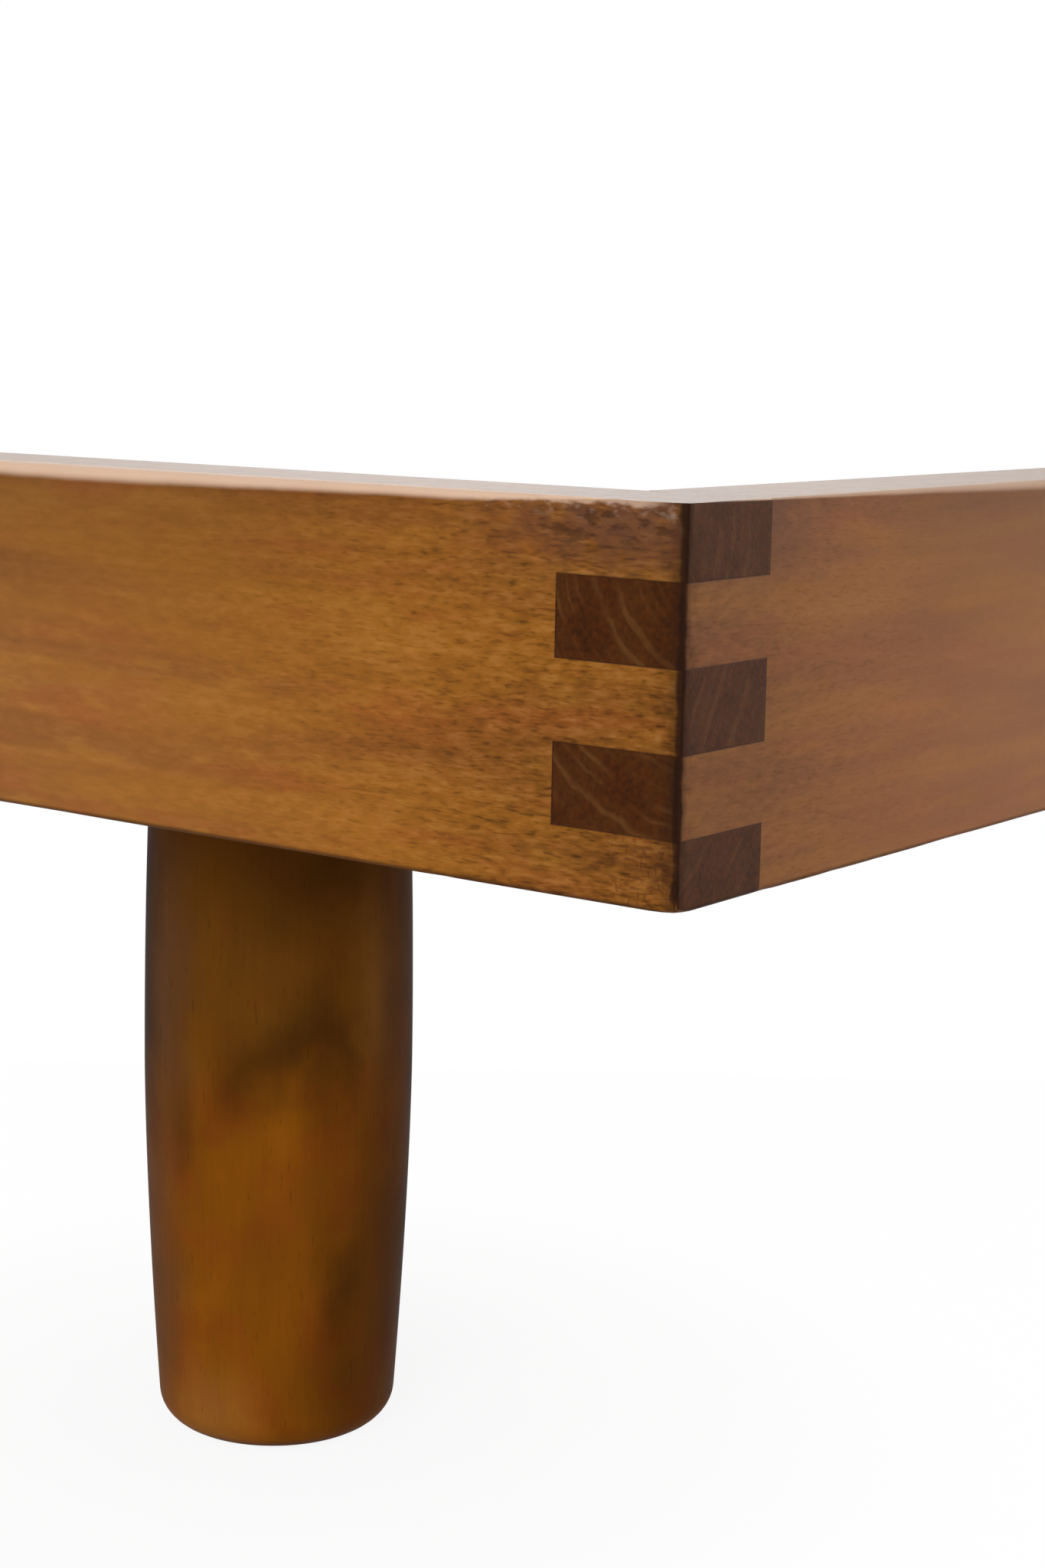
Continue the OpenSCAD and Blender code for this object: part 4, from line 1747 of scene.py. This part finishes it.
@dataclass(frozen=True)
class Studio:
    """White surroundings, plain soft light and a pale floor that keeps the bed's shadow."""

    ambient: float = 0.46
    lamps: tuple[tuple[str, Point, float], ...] = (
        ("key_lamp", (-0.80, -0.35, 0.55), 0.52),
        ("fill_lamp", (0.75, 0.60, 0.55), 0.20),
        ("low_lamp", (0.79, -0.59, 0.08), 0.17),
    )
    lamp_angle: float = 40.0
    floor_radius: float = 14.0
    floor_sides: int = 96
    floor_colour: Colour = (0.80, 0.80, 0.80)
    floor_keep: float = 0.99
    pool_keep: float = 0.90
    pool: Fade = Fade(0.04, 0.26)
    fade: Fade = Fade(2.4, 6.0)

    def build(self, feet: Iterable[Point]) -> None:
        """Makes the surroundings, the lamps and the floor.

        Args:
            feet: the middles of the legs, round which the bed's shadow shows most.
        """
        self.world()
        for name, direction, level in self.lamps:
            self.lamp(name, direction, level)
        self.floor(feet)

    def lamp(self, name: str, direction: Point, level: float) -> None:
        """Adds a broad, even lamp.

        Args:
            name: the lamp's name.
            direction: where its light comes from.
            level: how bright a white surface square to it becomes.
        """
        light = bpy.data.lights.new(name, "SUN")
        light.energy = level * math.pi
        light.angle = math.radians(self.lamp_angle)
        linked(name, light).rotation_euler = Vector(direction).to_track_quat("Z", "Y").to_euler()
        LOG.info("%s at level %.2f", name, level)

    def seen(self, graph: Graph) -> Field:
        """Whether the camera, a reflection or a view through glass sees the surface.

        Args:
            graph: the graph of the floor or of the surroundings.

        Returns:
            1 where one of them does, else 0.
        """
        path = graph.node("ShaderNodeLightPath", {}).outputs
        rays = [Field(graph, path[f"Is {kind} Ray"]) for kind in ("Camera", "Glossy", "Transmission")]
        return functools.reduce(Field.most, rays)

    def world(self) -> None:
        """White where it is seen, and a plain level of light from all round elsewhere."""
        world = bpy.data.worlds.new("white_surroundings")
        world.use_nodes = True
        bpy.context.scene.world = world
        graph = Graph(world.node_tree)
        level = self.seen(graph) * (1.0 - self.ambient) + self.ambient
        sky = graph.node("ShaderNodeBackground", {"Color": WHITE, "Strength": level})
        graph.finish("ShaderNodeOutputWorld", sky)

    def floor(self, feet: Iterable[Point]) -> None:
        """A round pale floor that whitens away from the bed.

        Args:
            feet: the middles of the legs.
        """
        bm = bmesh.new()
        bmesh.ops.create_circle(bm, cap_ends=True, segments=self.floor_sides, radius=self.floor_radius)
        floor = linked("floor", as_mesh(bm, "floor"))
        material, graph = new_material("pale_floor")
        place = graph.place()
        middles = [graph.vector("SUBTRACT", place, (x, y, 0.0)) for x, y, _ in feet]
        near_foot = functools.reduce(Field.most, [self.pool.down(graph.length(to)) for to in middles])
        keep = self.floor_keep - near_foot * (self.floor_keep - self.pool_keep)
        keep = keep.most(self.fade.up(graph.length(place)))
        matt = graph.node("ShaderNodeBsdfDiffuse", {"Color": graph.colour(self.floor_colour)}).outputs[0]
        white = graph.node("ShaderNodeEmission", {"Color": WHITE, "Strength": 1.0}).outputs[0]
        feeds = {0: keep * self.seen(graph), 1: Field(graph, matt), 2: Field(graph, white)}
        graph.finish("ShaderNodeOutputMaterial", graph.node("ShaderNodeMixShader", feeds))
        floor.data.materials.append(material)


@dataclass(frozen=True)
class Viewpoint:
    """The camera of the photograph, close to the corner at the foot end on the left.

    The picture ends behind that corner: what lies deeper than the far limit isn't drawn in this view, as
    in the photograph, which is cut out on white.
    """

    place: Point = (-1.0586, -1.3619, 0.3586)
    heading: float = 36.543
    dip: float = 9.311
    roll: float = 1.158
    lens: float = 62.376
    sensor: float = 36.0
    nearest: float = 0.05
    furthest: float = 1.35

    def build(self) -> None:
        """Makes the camera and chooses it."""
        data = bpy.data.cameras.new("corner_camera")
        data.lens = self.lens
        data.sensor_width = self.sensor
        data.clip_start = self.nearest
        data.clip_end = self.furthest
        camera = linked("corner_camera", data)
        turned = Matrix.Rotation(math.radians(self.heading - 90.0), 4, "Z")
        tipped = Matrix.Rotation(math.radians(90.0 - self.dip), 4, "X")
        rolled = Matrix.Rotation(math.radians(self.roll), 4, "Z")
        camera.matrix_world = Matrix.Translation(self.place) @ turned @ tipped @ rolled
        bpy.context.scene.camera = camera


def end_rail_finish() -> RailFinish:
    """The end rails' finish.

    Returns:
        The side rails' finish in paler and calmer wood, with clearer year rings and a narrower, fainter
        pale top edge.
    """
    faces = LongGrain(
        figure=0.38, gilding=0.18, corner_shade=Fade(0.02, 0.11, 0.28),
        amber=(0.318, 0.122, 0.0300), brown=(0.245, 0.088, 0.0280), red=(0.296, 0.099, 0.0320),
    )
    wear_and_highlight = PaleWearAndHighlight(pale_edge_start=0.35, pale_edge_stop=1.25, pale_edge_share=0.75)
    return RailFinish(faces=faces, ends=EndGrain(arc_share=0.42), wear_and_highlight=wear_and_highlight)


def main() -> None:
    """Builds the bed's pieces in order, then the studio and the camera."""
    logging.basicConfig(level=logging.INFO, format="%(message)s")
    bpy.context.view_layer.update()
    Rails(BedSizes.measured(), UpperArris(), RailFinish(), end_rail_finish()).build()
    Legs(LegFinish()).build()
    Understructure().build()
    Studio().build([box_middle(name) for name in Legs.names()])
    Viewpoint().build()
    bpy.context.scene.view_settings.view_transform = "Standard"


if __name__ == "__main__":
    main()
